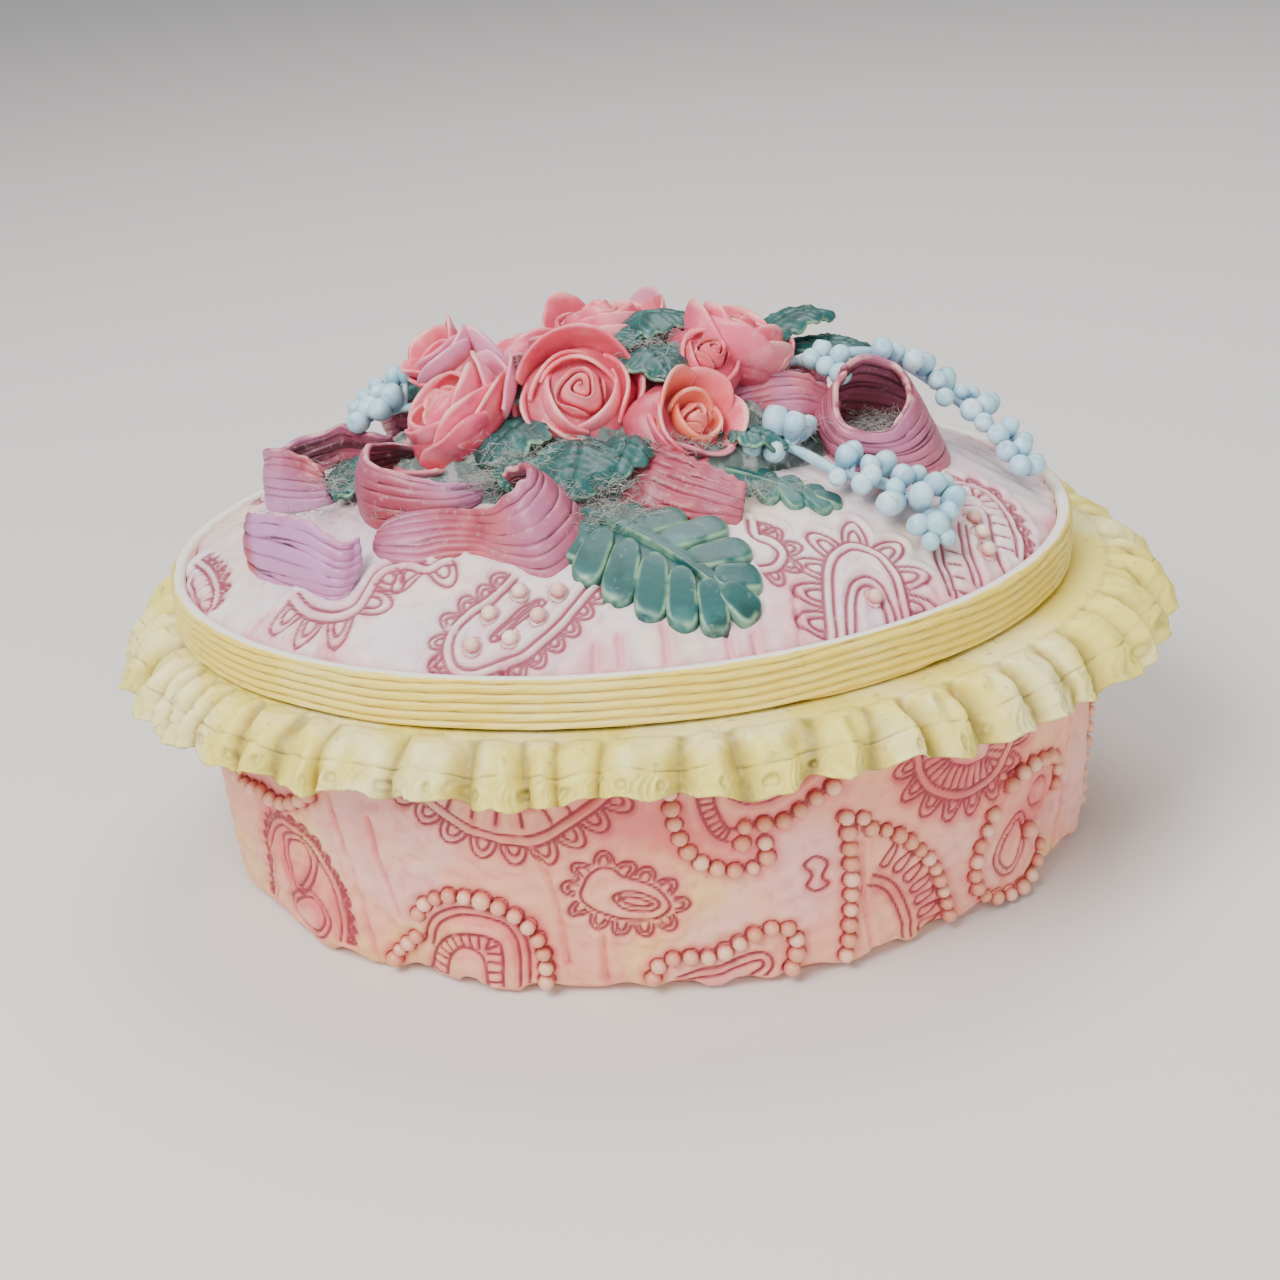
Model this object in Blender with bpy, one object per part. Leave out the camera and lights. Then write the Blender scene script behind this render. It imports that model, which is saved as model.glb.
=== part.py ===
"""Oval trinket box of cast and painted resin, with its lid resting on it.

Two castings. The box is an oval pot dressed as gathered cloth, with a lace ruffle round its mouth.
The lid is a padded dome in a hoop, with roses, ribbons, leaves and berry sprays standing on it.
Metres, +Z up, origin at the middle of the underside, +X along the length, -Y towards the viewer.
"""
import math

import bmesh
import bpy
import numpy as np
from mathutils import Matrix, Vector

MM = 0.001

# Box: the pot
BOX_BOTTOM_LENGTH = 150 * MM
BOX_BOTTOM_WIDTH = 112 * MM
BOX_SPREAD = 4 * MM
BOX_HEIGHT = 48 * MM
WALL = 5 * MM
FLOOR = 5 * MM
FOOT_ROLL = 2.5 * MM
GATHER_DEPTH = 0.9 * MM
GATHERS = 12

# Box: the ruffle round its mouth, wider and lower at the two ends than at the front and back
RUFFLE_REACH = 9.5 * MM
RUFFLE_REACH_FRONT = 6 * MM
RUFFLE_DROP = 9.5 * MM
RUFFLE_DROP_FRONT = 6.5 * MM
RUFFLE_THICK = 2.4 * MM
RUFFLE_WAVE = 1.5 * MM
RUFFLE_FOLDS = 24
NECK_BELOW = 5 * MM
MOUTH_IN = 9.5 * MM
LEDGE_THICK = 4 * MM
LEDGE_SLOPE = 4 * MM

# Lid: the hoop, the dome and the locating lip
HOOP_LENGTH = 152 * MM
HOOP_WIDTH = 115 * MM
HOOP_HEIGHT = 8.4 * MM
HOOP_TOP = 2.2 * MM
HOOP_CHAMFER = 0.6 * MM
DOME_HEIGHT = 16 * MM
DOME_FULLNESS = 2.6
DOME_SUNK = 0.8 * MM
LID_WALL = 4 * MM
LIP_CLEAR = 4 * MM
LIP_THICK = 3 * MM
LIP_DEPTH = 3 * MM
REST_GAP = 0.3 * MM
LID_SHIFT = (-3.0 * MM, 0.5 * MM)
LID_TURN = math.radians(1.5)

# Bouquet, on a raised bed of leaves
BED_LENGTH = 80 * MM
BED_WIDTH = 52 * MM
BED_RISE = 6 * MM
BED_CENTRE = (-1 * MM, 2 * MM)
ROSE_RADIUS = 11 * MM
ROSE_HEIGHT = 13 * MM
RIBBON_WIDTH = 9 * MM
RIBBON_THICK = 1.5 * MM
LEAF_WIDTH = 10 * MM
LEAF_THICK = 1.8 * MM
BERRY_RADIUS = 2.1 * MM
STEM_RADIUS = 1.1 * MM
SINK = 1.5 * MM

BOX_SIDES = 96
LID_SIDES = 64
ROSE_SIDES = 15

HALF_LENGTH = HOOP_LENGTH / 2
HALF_WIDTH = HOOP_WIDTH / 2
HOOP_BOTTOM = BOX_HEIGHT + REST_GAP
HOOP_EDGE = HOOP_BOTTOM + HOOP_HEIGHT
DOME_EDGE = HOOP_EDGE - DOME_SUNK

# The bouquet's tables give places as percent of the lid's half length and half width.
# Roses: middle of the face, its height over the dome's edge as percent of the dome's height, size as
# a share, lean from upright and heading of the lean
ROSES = [
    ((-5.8, -15.7), 174.4, 1.04, 45, -92),
    ((18.7, -25.9), 155, 0.82, 42, -70),
    ((22.9, 1.7), 181.9, 0.6, 42, -80),
    ((30.3, 13.9), 188.1, 0.92, 36, 15),
    ((0.7, 31.3), 214.4, 1.05, 10, 100),
    ((-34.7, 21.2), 184.4, 0.68, 28, 150),
    ((-34.2, -6.6), 163.1, 0.98, 34, 200),
    ((17.1, 53.9), 147.5, 0.84, 38, 75),
    ((-19.7, 52.2), 147.5, 0.82, 36, 110),
]

# Coils of standing ribbon: middle, half sizes, start and sweep in degrees, lean (inwards if minus),
# width as a share at both ends, stations
RIBBON_COILS = [
    ((58.6, -4.3), (14.5, 19.1), 170, 318, (-20, -20), (1.22, 1.22), 15),
    ((-43.4, -20.9), (13.2, 15.7), 50, 285, (4, 4), (1.0, 1.0), 11),
    ((-42.1, 60.9), (11.2, 13), -40, 260, (10, 10), (1.0, 1.0), 9),
    ((40.8, 62.6), (10.5, 12.2), 10, 250, (10, 10), (1.0, 1.0), 9),
]

# Ribbon bands along a route, with the lean and the share of the width at both ends, and stations
RIBBON_ROUTES = [
    ([(-79.5, -25.2), (-72.1, -41.2), (-63.8, -51.3), (-57.4, -57.2)],
     (10, 10), (1.0, 1.0), 6),
    ([(-50.3, -44.3), (-42.6, -52.3), (-34.3, -53.4), (-26.2, -56.7), (-19.1, -63.7),
      (-12.4, -64.7), (-7.1, -56.7), (-7.4, -45.2)],
     (48, 2), (0.56, 1.06), 12),
    ([(-0.3, -37.6), (8.6, -48.7), (21.1, -53.2)],
     (-38, -38), (1.0, 1.0), 5),
    ([(27, -5.2), (36.4, -5.9), (46.7, -1.7)],
     (-42, -42), (1.06, 1.0), 5),
    ([(-50, 15.7), (-60.5, 21.7), (-71.1, 20.9), (-77.6, 12.2),
      (-76.6, 0), (-70.5, -8.7), (-64.5, -11.3)],
     (0, 8), (0.89, 0.56), 11),
]

# Leaves: foot and tip, width as a share, lobes a side, lift of the foot and of the middle as shares of the
# bed's rise
LEAVES = [
    ((-6.6, -48.7), (25, -83.5), 1.8, 5, 0.5, 0.0),
    ((20.4, -30.4), (44.1, -46.1), 0.75, 5, 0.33, 0.0),
    ((-11.8, -10.4), (-28.3, -34.8), 1.0, 3, 0.58, 0.0),
    ((-5.3, -24.3), (-11.2, -49.6), 1.0, 3, 0.5, 0.0),
    ((6.6, -7), (11.8, 27.8), 1.3, 3, 2.0, 0.67),
    ((26.3, 22.6), (59.2, 34.8), 1.1, 4, 1.17, 0.83),
    ((-50, 6.1), (-64.5, -1.7), 0.8, 3, 0.33, 0.0),
    ((-6.6, 53.9), (-3.9, 87), 1.4, 5, 0.5, 0.0),
    ((-39.5, 33), (-59.2, 47), 1.0, 4, 0.5, 0.0),
]

# Berry sprays: route and number of berries
SPRAYS = [
    ([(30.3, -20.9), (39.5, -22.6), (50.7, -34.8), (59.2, -41.7), (65.1, -53.9)], 11),
    ([(59.2, 23.5), (71.1, 21.7), (81.6, 15.7), (88.2, 3.5), (90.1, -7.8)], 10),
    ([(-43.4, 13.9), (-53.9, 26.1)], 4),
    ([(10.5, 57.4), (22.4, 76.5)], 4),
    ([(-19.7, 60.9), (-30.3, 78.3)], 4),
]


def oval(half_length, half_width, angles):
    """Plan points of an oval at these angles."""
    return np.stack([half_length * np.cos(angles), half_width * np.sin(angles)], axis=-1)


def ring(half_length, half_width, height, angles, out=0.0):
    """One ring of an oval loft; out widens it, and may be an array that goes round with the angles."""
    plan = oval(1.0, 1.0, angles) * np.stack(
        [half_length + out + 0 * angles, half_width + out + 0 * angles], axis=-1
    )
    return np.column_stack([plan, height + 0 * angles])


def loft(name, rings, foot=None, top=None):
    """A closed mesh through rings of equal count, with a pole or a flat cap at either end."""
    rings = np.array(rings)
    count, sides = rings.shape[:2]
    mesh = bmesh.new()
    rows = [[mesh.verts.new(p) for p in row] for row in rings]
    for lower, upper in zip(rows, rows[1:]):
        for i in range(sides):
            j = (i + 1) % sides
            mesh.faces.new((lower[i], lower[j], upper[j], upper[i]))
    for row, pole in ((rows[0][::-1], foot), (rows[-1], top)):
        if pole is None:
            mesh.faces.new(row)
        else:
            tip = mesh.verts.new(pole)
            for i in range(sides):
                mesh.faces.new((row[i], row[(i + 1) % sides], tip))
    bmesh.ops.triangulate(mesh, faces=mesh.faces)
    bmesh.ops.recalc_face_normals(mesh, faces=mesh.faces)
    data = bpy.data.meshes.new(name)
    mesh.to_mesh(data)
    mesh.free()
    return bpy.data.objects.new(name, data)


def resin(name, colour, roughness):
    """Painted cast resin: a plain shader with the colour that most of the piece has."""
    paint = bpy.data.materials.new(name)
    paint.use_nodes = True
    shader = paint.node_tree.nodes["Principled BSDF"]
    shader.inputs["Base Color"].default_value = (*colour, 1)
    shader.inputs["Roughness"].default_value = roughness
    shader.inputs["Metallic"].default_value = 0.0
    return paint


def fold_wave(angles, folds):
    """Uneven folds round the ruffle, from -1 to 1: their pitch drifts as they go round."""
    return np.sin(folds * angles + 1.3 * np.sin(3 * angles) + 0.8 * np.sin(5 * angles + 1))


def front_to_end(end, front, angles):
    """A size that is `front` at the front and back of the oval and `end` at its two ends."""
    return front + (end - front) * np.cos(angles) ** 2


def box_shell():
    """The pot, its flat underside and floor, and the ruffle that flares out and hangs round its mouth."""
    angles = np.linspace(0, 2 * math.pi, BOX_SIDES, endpoint=False)
    foot_a, foot_b = BOX_BOTTOM_LENGTH / 2, BOX_BOTTOM_WIDTH / 2
    mouth_a, mouth_b = foot_a + BOX_SPREAD, foot_b + BOX_SPREAD
    gather = GATHER_DEPTH * fold_wave(angles + 0.4, GATHERS)
    wave = fold_wave(angles, RUFFLE_FOLDS)

    def wall(height):
        """The outer wall at a height, with gathers that fade out upwards."""
        share = height / BOX_HEIGHT
        out = BOX_SPREAD * share - GATHER_DEPTH * share + gather * (1 - share) ** 2
        return ring(foot_a, foot_b, height, angles, out)

    neck = BOX_HEIGHT - NECK_BELOW
    reach = front_to_end(RUFFLE_REACH, RUFFLE_REACH_FRONT, angles)
    drop = front_to_end(RUFFLE_DROP, RUFFLE_DROP_FRONT, angles)
    edge_height = BOX_HEIGHT - drop
    ledge = BOX_HEIGHT - LEDGE_THICK
    inner = BOX_SPREAD * (ledge - LEDGE_SLOPE) / BOX_HEIGHT - WALL - GATHER_DEPTH
    rings = [
        ring(foot_a - FOOT_ROLL, foot_b - FOOT_ROLL, 0.0, angles, gather),
        wall(FOOT_ROLL),
        wall(neck / 3),
        wall(2 * neck / 3),
        wall(neck),
        ring(mouth_a, mouth_b, edge_height, angles,
             reach - RUFFLE_THICK + RUFFLE_WAVE * wave),
        ring(mouth_a, mouth_b, edge_height - RUFFLE_THICK / 6, angles,
             reach - RUFFLE_THICK / 3 + RUFFLE_WAVE * wave),
        ring(mouth_a, mouth_b, edge_height + drop * 0.45, angles,
             reach * 0.82 + 0.8 * RUFFLE_WAVE * wave),
        ring(mouth_a, mouth_b, edge_height + drop * 0.86, angles,
             reach * 0.42 + 0.45 * RUFFLE_WAVE * wave),
        ring(mouth_a, mouth_b, BOX_HEIGHT, angles, RUFFLE_THICK / 6),
        ring(mouth_a, mouth_b, BOX_HEIGHT, angles, -MOUTH_IN),
        ring(mouth_a, mouth_b, ledge, angles, -MOUTH_IN),
        ring(foot_a, foot_b, ledge - LEDGE_SLOPE, angles, inner),
        ring(foot_a, foot_b, FLOOR, angles, -WALL - 2 * GATHER_DEPTH),
    ]
    return loft("box", rings)


def dome_height(x, y):
    """Height of the cloth dome over a point of the lid's plan."""
    spread = (x / (HALF_LENGTH - HOOP_TOP)) ** 2 + (y / (HALF_WIDTH - HOOP_TOP)) ** 2
    return DOME_EDGE + DOME_HEIGHT * np.clip(1 - spread ** (DOME_FULLNESS / 2), 0, 1)


def bed_height(x, y):
    """Height of the dome with the raised bed of leaves on it."""
    across = ((x - BED_CENTRE[0]) / (BED_LENGTH / 2)) ** 2 + ((y - BED_CENTRE[1]) / (BED_WIDTH / 2)) ** 2
    return dome_height(x, y) + BED_RISE * np.sqrt(np.clip(1 - across, 0, 1))


def lid_shell():
    """The hoop, the dome inside it, its hollow underside, and the lip that finds the box's mouth."""
    angles = np.linspace(0, 2 * math.pi, LID_SIDES, endpoint=False)
    a, b = HALF_LENGTH, HALF_WIDTH
    lip_a = BOX_BOTTOM_LENGTH / 2 + BOX_SPREAD - MOUTH_IN - LIP_CLEAR
    lip_b = BOX_BOTTOM_WIDTH / 2 + BOX_SPREAD - MOUTH_IN - LIP_CLEAR
    bore_a, bore_b = lip_a - LIP_THICK, lip_b - LIP_THICK

    def dome_ring(share, drop=0.0, to_a=a - HOOP_TOP, to_b=b - HOOP_TOP):
        plan = oval(share * to_a, share * to_b, angles)
        return np.column_stack([plan, dome_height(plan[:, 0], plan[:, 1]) - drop])

    under = [dome_ring(s, LID_WALL, bore_a, bore_b) for s in (0.4, 0.75)]
    rings = under + [
        ring(bore_a, bore_b, dome_height(bore_a, 0) - LID_WALL, angles),
        ring(bore_a, bore_b, HOOP_BOTTOM - LIP_DEPTH, angles),
        ring(lip_a, lip_b, HOOP_BOTTOM - LIP_DEPTH, angles),
        ring(lip_a, lip_b, HOOP_BOTTOM, angles),
        ring(a, b, HOOP_BOTTOM, angles, -HOOP_CHAMFER),
        ring(a, b, HOOP_BOTTOM + HOOP_HEIGHT / 2, angles),
        ring(a, b, HOOP_EDGE, angles),
        ring(a, b, HOOP_EDGE, angles, -HOOP_TOP),
        ring(a, b, DOME_EDGE, angles, -HOOP_TOP),
    ] + [dome_ring(s) for s in (0.85, 0.6, 0.35)]
    foot = (0, 0, float(dome_height(0.0, 0.0)) - LID_WALL)
    return loft("lid", rings, foot=foot, top=(0, 0, float(dome_height(0.0, 0.0))))


def on_lid(percents):
    """Plan places on the lid, from percents of its half length and half width."""
    return np.array(percents, float) / 100 * np.array([HALF_LENGTH, HALF_WIDTH])


def lean_matrix(place, lean, heading):
    """Carries a piece that stands on +Z to its place on the lid, leaning towards a heading."""
    turn = math.radians(heading)
    axis = Vector((-math.sin(turn), math.cos(turn), 0))
    return Matrix.Translation(Vector(place)) @ Matrix.Rotation(math.radians(lean), 4, axis)


def leaf_bed():
    """The raised bed that the roses and ribbons are set in, sunk a little into the dome."""
    angles = np.linspace(0, 2 * math.pi, 24, endpoint=False)
    rings = []
    for share, drop in ((1.0, SINK), (0.999, 0.0), (0.85, 0.0), (0.55, 0.0)):
        plan = oval(share * BED_LENGTH / 2, share * BED_WIDTH / 2, angles) + np.array(BED_CENTRE)
        rings.append(np.column_stack([plan, bed_height(plan[:, 0], plan[:, 1]) - drop]))
    return loft("leaf_bed", rings, top=(*BED_CENTRE, float(bed_height(*BED_CENTRE))))


def rose(name, middle, rise, size, lean, heading):
    """A rose as nested rounds of lobes: outer and inner petals and the bud, a valley inside each lip."""
    angles = np.linspace(0, 2 * math.pi, ROSE_SIDES, endpoint=False)
    radius, height = ROSE_RADIUS * size, ROSE_HEIGHT * math.sqrt(size)

    def petals(reach, rise, lobes=5, depth=0.0, phase=0.0):
        lobe = 1 + depth * np.cos(lobes * angles + phase)
        plan = oval(radius * reach, radius * reach, angles) * lobe[:, None]
        return np.column_stack([plan, height * (rise + 0.15 * (lobe - 1))])

    rings = [
        petals(0.40, -SINK / height),
        petals(0.82, 0.36, depth=0.05),
        petals(1.00, 0.84, depth=0.08),
        petals(0.80, 0.68, depth=0.06),
        petals(0.68, 0.96, depth=0.07, phase=math.pi),
        petals(0.48, 0.78, depth=0.05, phase=math.pi),
        petals(0.33, 1.02, lobes=3, depth=0.06),
    ]
    piece = loft(name, rings, top=(0, 0, height * 0.9))
    carry = lean_matrix((*on_lid(middle), DOME_EDGE + rise / 100 * DOME_HEIGHT), lean, heading)
    piece.data.transform(carry @ Matrix.Translation((0, 0, -height)))
    return piece


def smooth_route(points, count):
    """A smooth curve through plan points (Catmull-Rom), read at equal steps."""
    points = np.array(points, float)
    padded = np.vstack([2 * points[0] - points[1], points, 2 * points[-1] - points[-2]])
    place = np.linspace(0, len(points) - 1, count)
    leg = np.minimum(place.astype(int), len(points) - 2)
    t = (place - leg)[:, None]
    p0, p1, p2, p3 = (padded[leg + k] for k in range(4))
    return 0.5 * (2 * p1 + (p2 - p0) * t + (2 * p0 - 5 * p1 + 4 * p2 - p3) * t**2
                  + (3 * p1 - p0 - 3 * p2 + p3) * t**3)


def ribbon(name, plan, leans, widths):
    """A band on edge along a plan route, leaning off upright, its lower edge sunk in the dome."""
    along = np.gradient(plan, axis=0)
    along /= np.linalg.norm(along, axis=1)[:, None]
    side = np.column_stack([along[:, 1], -along[:, 0], 0 * along[:, 0]])
    angle = np.radians(np.linspace(*leans, len(plan)))[:, None]
    width = np.linspace(*widths, len(plan))[:, None] * RIBBON_WIDTH
    upright = np.array([[0.0, 0.0, 1.0]])
    up = upright * np.cos(angle) + side * np.sin(angle)
    face = side * np.cos(angle) - upright * np.sin(angle)
    foot = np.column_stack([plan, dome_height(plan[:, 0], plan[:, 1])]) - up * SINK
    bulge = face * RIBBON_THICK * 0.4
    half = face * RIBBON_THICK / 2
    reach = width + SINK
    sections = [
        foot - half,
        foot + half,
        foot + up * reach * 0.5 + half + bulge,
        foot + up * reach + half,
        foot + up * reach - half,
        foot + up * reach * 0.5 - half * 1.15,
    ]
    return loft(name, np.stack(sections, axis=1))


def leaf(name, foot, tip, width, lobes, foot_lift, middle_lift):
    """A lobed leaf that follows the dome from raised foot to tip; the lobes swell and pinch its outline."""
    foot, tip, width = on_lid(foot), on_lid(tip), width * LEAF_WIDTH
    stations = np.linspace(0.0, 1.0, 2 * lobes + 3)
    along = (tip - foot) / np.linalg.norm(tip - foot)
    side = np.array([-along[1], along[0]])
    swell = np.sin(math.pi * np.clip(0.12 + 0.84 * stations, 0, 1)) ** 0.7
    pinch = 0.84 + 0.16 * np.cos(math.pi * (np.arange(len(stations)) + 1))
    half = width / 2 * swell * pinch
    lift = (foot_lift * (1 - stations) ** 1.5 + middle_lift * np.sin(math.pi * stations)) * BED_RISE
    spine = foot + np.outer(stations, tip - foot)
    sections = []
    for across, top in ((-1, 0), (0, 0), (1, 0), (1, 1), (0, 0.75), (-1, 1)):
        plan = spine + np.outer(half * across, side)
        rise = lift + LEAF_THICK * top if top else -0.6 * SINK + 0 * lift
        sections.append(np.column_stack([plan, dome_height(plan[:, 0], plan[:, 1]) + rise]))
    return loft(name, np.stack(sections, axis=1))


def ball(name, centre, radius):
    """One berry: a coarse sphere."""
    mesh = bmesh.new()
    bmesh.ops.create_uvsphere(mesh, u_segments=6, v_segments=4, radius=radius)
    data = bpy.data.meshes.new(name)
    mesh.to_mesh(data)
    mesh.free()
    data.transform(Matrix.Translation(Vector(centre)))
    return bpy.data.objects.new(name, data)


def spray(name, route, berries):
    """A stem along the dome with berries set round it by the golden angle."""
    plan = on_lid(smooth_route(route, berries))
    heights = dome_height(plan[:, 0], plan[:, 1])
    around = np.linspace(0, 2 * math.pi, 4, endpoint=False)
    along = np.gradient(plan, axis=0)
    along /= np.linalg.norm(along, axis=1)[:, None]
    sections = []
    for angle in around:
        offset = np.column_stack([-along[:, 1], along[:, 0]]) * STEM_RADIUS * math.cos(angle)
        sections.append(np.column_stack([plan + offset, heights + STEM_RADIUS * (0.3 + math.sin(angle))]))
    pieces = [loft(name + "_stem", np.stack(sections, axis=1))]
    for i in range(berries):
        turn = i * 2.4
        place = plan[i] + BERRY_RADIUS * 0.7 * np.array([math.cos(turn), math.sin(turn)])
        rise = BERRY_RADIUS * (0.25 + 0.25 * (i % 3))
        centre = (place[0], place[1], float(dome_height(place[0], place[1])) + rise)
        pieces.append(ball(f"{name}_berry_{i}", centre, BERRY_RADIUS * (0.9 + 0.08 * (i % 4))))
    return pieces


def bouquet():
    """Everything that stands on the dome, in the lid's own frame."""
    pieces = [leaf_bed()]
    pieces += [rose(f"rose_{i}", *each) for i, each in enumerate(ROSES)]
    for i, (middle, radii, start, sweep, leans, widths, stations) in enumerate(RIBBON_COILS):
        angles = np.radians(np.linspace(start, start + sweep, stations))
        plan = np.array(middle) + oval(*radii, angles)
        pieces.append(ribbon(f"coil_{i}", on_lid(plan), leans, widths))
    for i, (route, leans, widths, stations) in enumerate(RIBBON_ROUTES):
        pieces.append(ribbon(f"band_{i}", on_lid(smooth_route(route, stations)), leans, widths))
    pieces += [leaf(f"leaf_{i}", *each) for i, each in enumerate(LEAVES)]
    for i, (route, berries) in enumerate(SPRAYS):
        pieces += spray(f"spray_{i}", route, berries)
    return pieces


def main():
    for old in list(bpy.data.objects):
        bpy.data.objects.remove(old)
    castings = bpy.data.collections.new("trinket_box")
    carving = bpy.data.collections.new("bouquet_pieces")
    for group in (castings, carving):
        bpy.context.scene.collection.children.link(group)

    box = box_shell()
    box.data.materials.append(resin("painted_resin_pink", (0.72, 0.42, 0.38), 0.45))
    castings.objects.link(box)

    lid = lid_shell()
    lid.data.materials.append(resin("painted_resin_lid", (0.74, 0.46, 0.44), 0.45))
    castings.objects.link(lid)
    for piece in bouquet():
        piece.hide_render = True
        piece.display_type = "WIRE"
        carving.objects.link(piece)
    join = lid.modifiers.new("bouquet", "BOOLEAN")
    join.operation = "UNION"
    join.operand_type = "COLLECTION"
    join.collection = carving

    place = Matrix.Translation((*LID_SHIFT, 0)) @ Matrix.Rotation(LID_TURN, 4, "Z")
    for piece in [lid, *carving.objects]:
        piece.matrix_world = place


main()
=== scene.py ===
"""Oval trinket box of cast resin, painted and antiqued by hand, dressed in detail over its solids.

Shapes are worked out in millimetres, in the frame of the solids, and scaled to metres when a mesh is
made. The pot is dressed as gathered cloth with paisley relief and pearls, a lace ruffle hangs round
its mouth, and the lid is a padded dome in a ribbed hoop with roses, ribbons, leaves, berry sprays and
grey dust on it.
"""
import math

import bpy
import numpy as np
from mathutils import Matrix, Vector


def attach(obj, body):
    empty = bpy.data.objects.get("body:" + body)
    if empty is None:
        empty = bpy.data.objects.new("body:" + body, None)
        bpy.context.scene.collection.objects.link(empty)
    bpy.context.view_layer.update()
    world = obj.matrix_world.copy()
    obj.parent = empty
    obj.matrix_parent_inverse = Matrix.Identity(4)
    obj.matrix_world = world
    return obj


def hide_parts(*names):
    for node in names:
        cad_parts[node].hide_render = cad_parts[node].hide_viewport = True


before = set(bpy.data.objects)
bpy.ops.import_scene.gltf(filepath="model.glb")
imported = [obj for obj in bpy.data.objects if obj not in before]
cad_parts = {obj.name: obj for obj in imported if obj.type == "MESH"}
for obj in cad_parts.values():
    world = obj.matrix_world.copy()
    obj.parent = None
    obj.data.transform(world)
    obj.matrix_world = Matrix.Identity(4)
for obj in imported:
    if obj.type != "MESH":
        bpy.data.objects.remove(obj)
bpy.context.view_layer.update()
MM = 0.001
TAU = 2 * math.pi

# Sizes shared with the solids
FOOT_A, FOOT_B = 75.0, 56.0
SPREAD = 4.0
BOX_HEIGHT = 48.0
GATHER_DEPTH, GATHERS = 0.9, 12
MOUTH_A, MOUTH_B = FOOT_A + SPREAD, FOOT_B + SPREAD
MOUTH_IN = 9.5
FLOOR = 5.0
RUFFLE_REACH, RUFFLE_DROP = (6.0, 9.5), (6.5, 9.5)
HOOP_A, HOOP_B = 76.0, 57.5
HOOP_BOTTOM, HOOP_HEIGHT, HOOP_TOP = 48.3, 8.4, 2.2
DOME_A, DOME_B = HOOP_A - HOOP_TOP, HOOP_B - HOOP_TOP
DOME_EDGE = HOOP_BOTTOM + HOOP_HEIGHT - 0.8
DOME_HEIGHT, DOME_FULLNESS = 16.0, 2.6
LID_SHIFT = (-3.0, 0.5)
LID_TURN = math.radians(1.5)
BED_A, BED_B, BED_RISE, BED_CENTRE = 40.0, 26.0, 6.0, (-1.0, 2.0)


def hill(x, width):
    """A smooth bump, 1 at x = 0: exp(-(x / width)^2)."""
    return np.exp(-(x / width) ** 2)


def pairs(one, two):
    """Two values side by side at each place, stretched to one shape."""
    return np.stack(np.broadcast_arrays(one, two), axis=-1)


def wobble(points, pitch, seed):
    """Smooth noise from -1 to 1: a mean of seven sine waves of about this pitch, in random directions."""
    rng = np.random.default_rng(seed)
    total = 0.0
    for _ in range(7):
        way = rng.normal(size=points.shape[-1])
        way *= rng.uniform(0.6, 1.5) * TAU / pitch / np.linalg.norm(way)
        total = total + np.sin(points @ way + rng.uniform(0, TAU))
    return total / 3.5


def oval_ring(half_length, half_width, height, angles, out=0.0):
    """Points (a + out) cos t, (b + out) sin t at this
    height; out and height may go round with the angles."""
    return np.stack([(half_length + out) * np.cos(angles), (half_width + out) * np.sin(angles),
                     height + 0 * angles], axis=-1)


def shell(points, wrap=True, foot=None, top=None, **marks):
    """Vertices and faces of a grid of points in rows; wrap joins the last column to the first. Rows
    run up an outer surface and columns run round it to the left, so that its normals point outwards.
    foot and top are points that close the first and last row; marks are values at the vertices."""
    rows, cols = points.shape[:2]
    index = np.arange(rows * cols).reshape(rows, cols)
    here = index if wrap else index[:, :-1]
    after = np.roll(index, -1, axis=1) if wrap else index[:, 1:]
    quads = np.stack([here[:-1], after[:-1], after[1:], here[1:]], axis=-1).reshape(-1, 4)
    verts = points.reshape(-1, 3)
    tris = np.zeros((0, 3), int)
    for pole, row, turned in ((foot, 0, True), (top, -1, False)):
        if pole is not None:
            pair = (after[row], here[row]) if turned else (here[row], after[row])
            tip = np.full(len(pair[0]), len(verts))
            tris = np.vstack([tris, np.stack([*pair, tip], axis=-1)])
            verts = np.vstack([verts, np.reshape(pole, (1, 3))])
    filled = {}
    for name, value in marks.items():
        flat = np.broadcast_to(value, (rows, cols)).reshape(-1)
        filled[name] = np.concatenate([flat, np.full(len(verts) - len(flat), flat[-1])])
    return {"verts": verts, "quads": quads, "tris": tris, "marks": filled}


def put(name, data):
    """An object with this data, in the scene."""
    made = bpy.data.objects.new(name, data)
    bpy.context.scene.collection.objects.link(made)
    return made


def piece(name, shells, paint, node):
    """One mesh object from shells, which rides on the root body and stands for a solid."""
    count = np.cumsum([0] + [len(s["verts"]) for s in shells])
    verts = np.concatenate([s["verts"] for s in shells]) * MM
    quads = np.concatenate([s["quads"] + c for s, c in zip(shells, count)])
    tris = np.concatenate([s["tris"] + c for s, c in zip(shells, count)])
    corners = np.concatenate([quads.ravel(), tris.ravel()]).astype(np.int32)
    starts = np.concatenate([np.arange(len(quads)) * 4, quads.size + np.arange(len(tris)) * 3])
    mesh = bpy.data.meshes.new(name)
    mesh.vertices.add(len(verts))
    mesh.vertices.foreach_set("co", verts.ravel())
    mesh.loops.add(len(corners))
    mesh.loops.foreach_set("vertex_index", corners)
    mesh.polygons.add(len(starts))
    mesh.polygons.foreach_set("loop_start", starts.astype(np.int32))
    mesh.polygons.foreach_set("use_smooth", np.ones(len(starts), bool))
    mesh.update(calc_edges=True)
    mesh.validate()
    for mark in shells[0]["marks"]:
        layer = mesh.attributes.new(mark, "FLOAT", "POINT")
        values = np.concatenate([s["marks"][mark] for s in shells])
        layer.data.foreach_set("value", values.astype(np.float32))
    mesh.materials.append(paint)
    made = put(name, mesh)
    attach(made, "root")
    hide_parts(node)
    return made


def box_piece(name, shells, paint):
    """A piece of the box."""
    return piece(name, shells, paint, "box")


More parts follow.
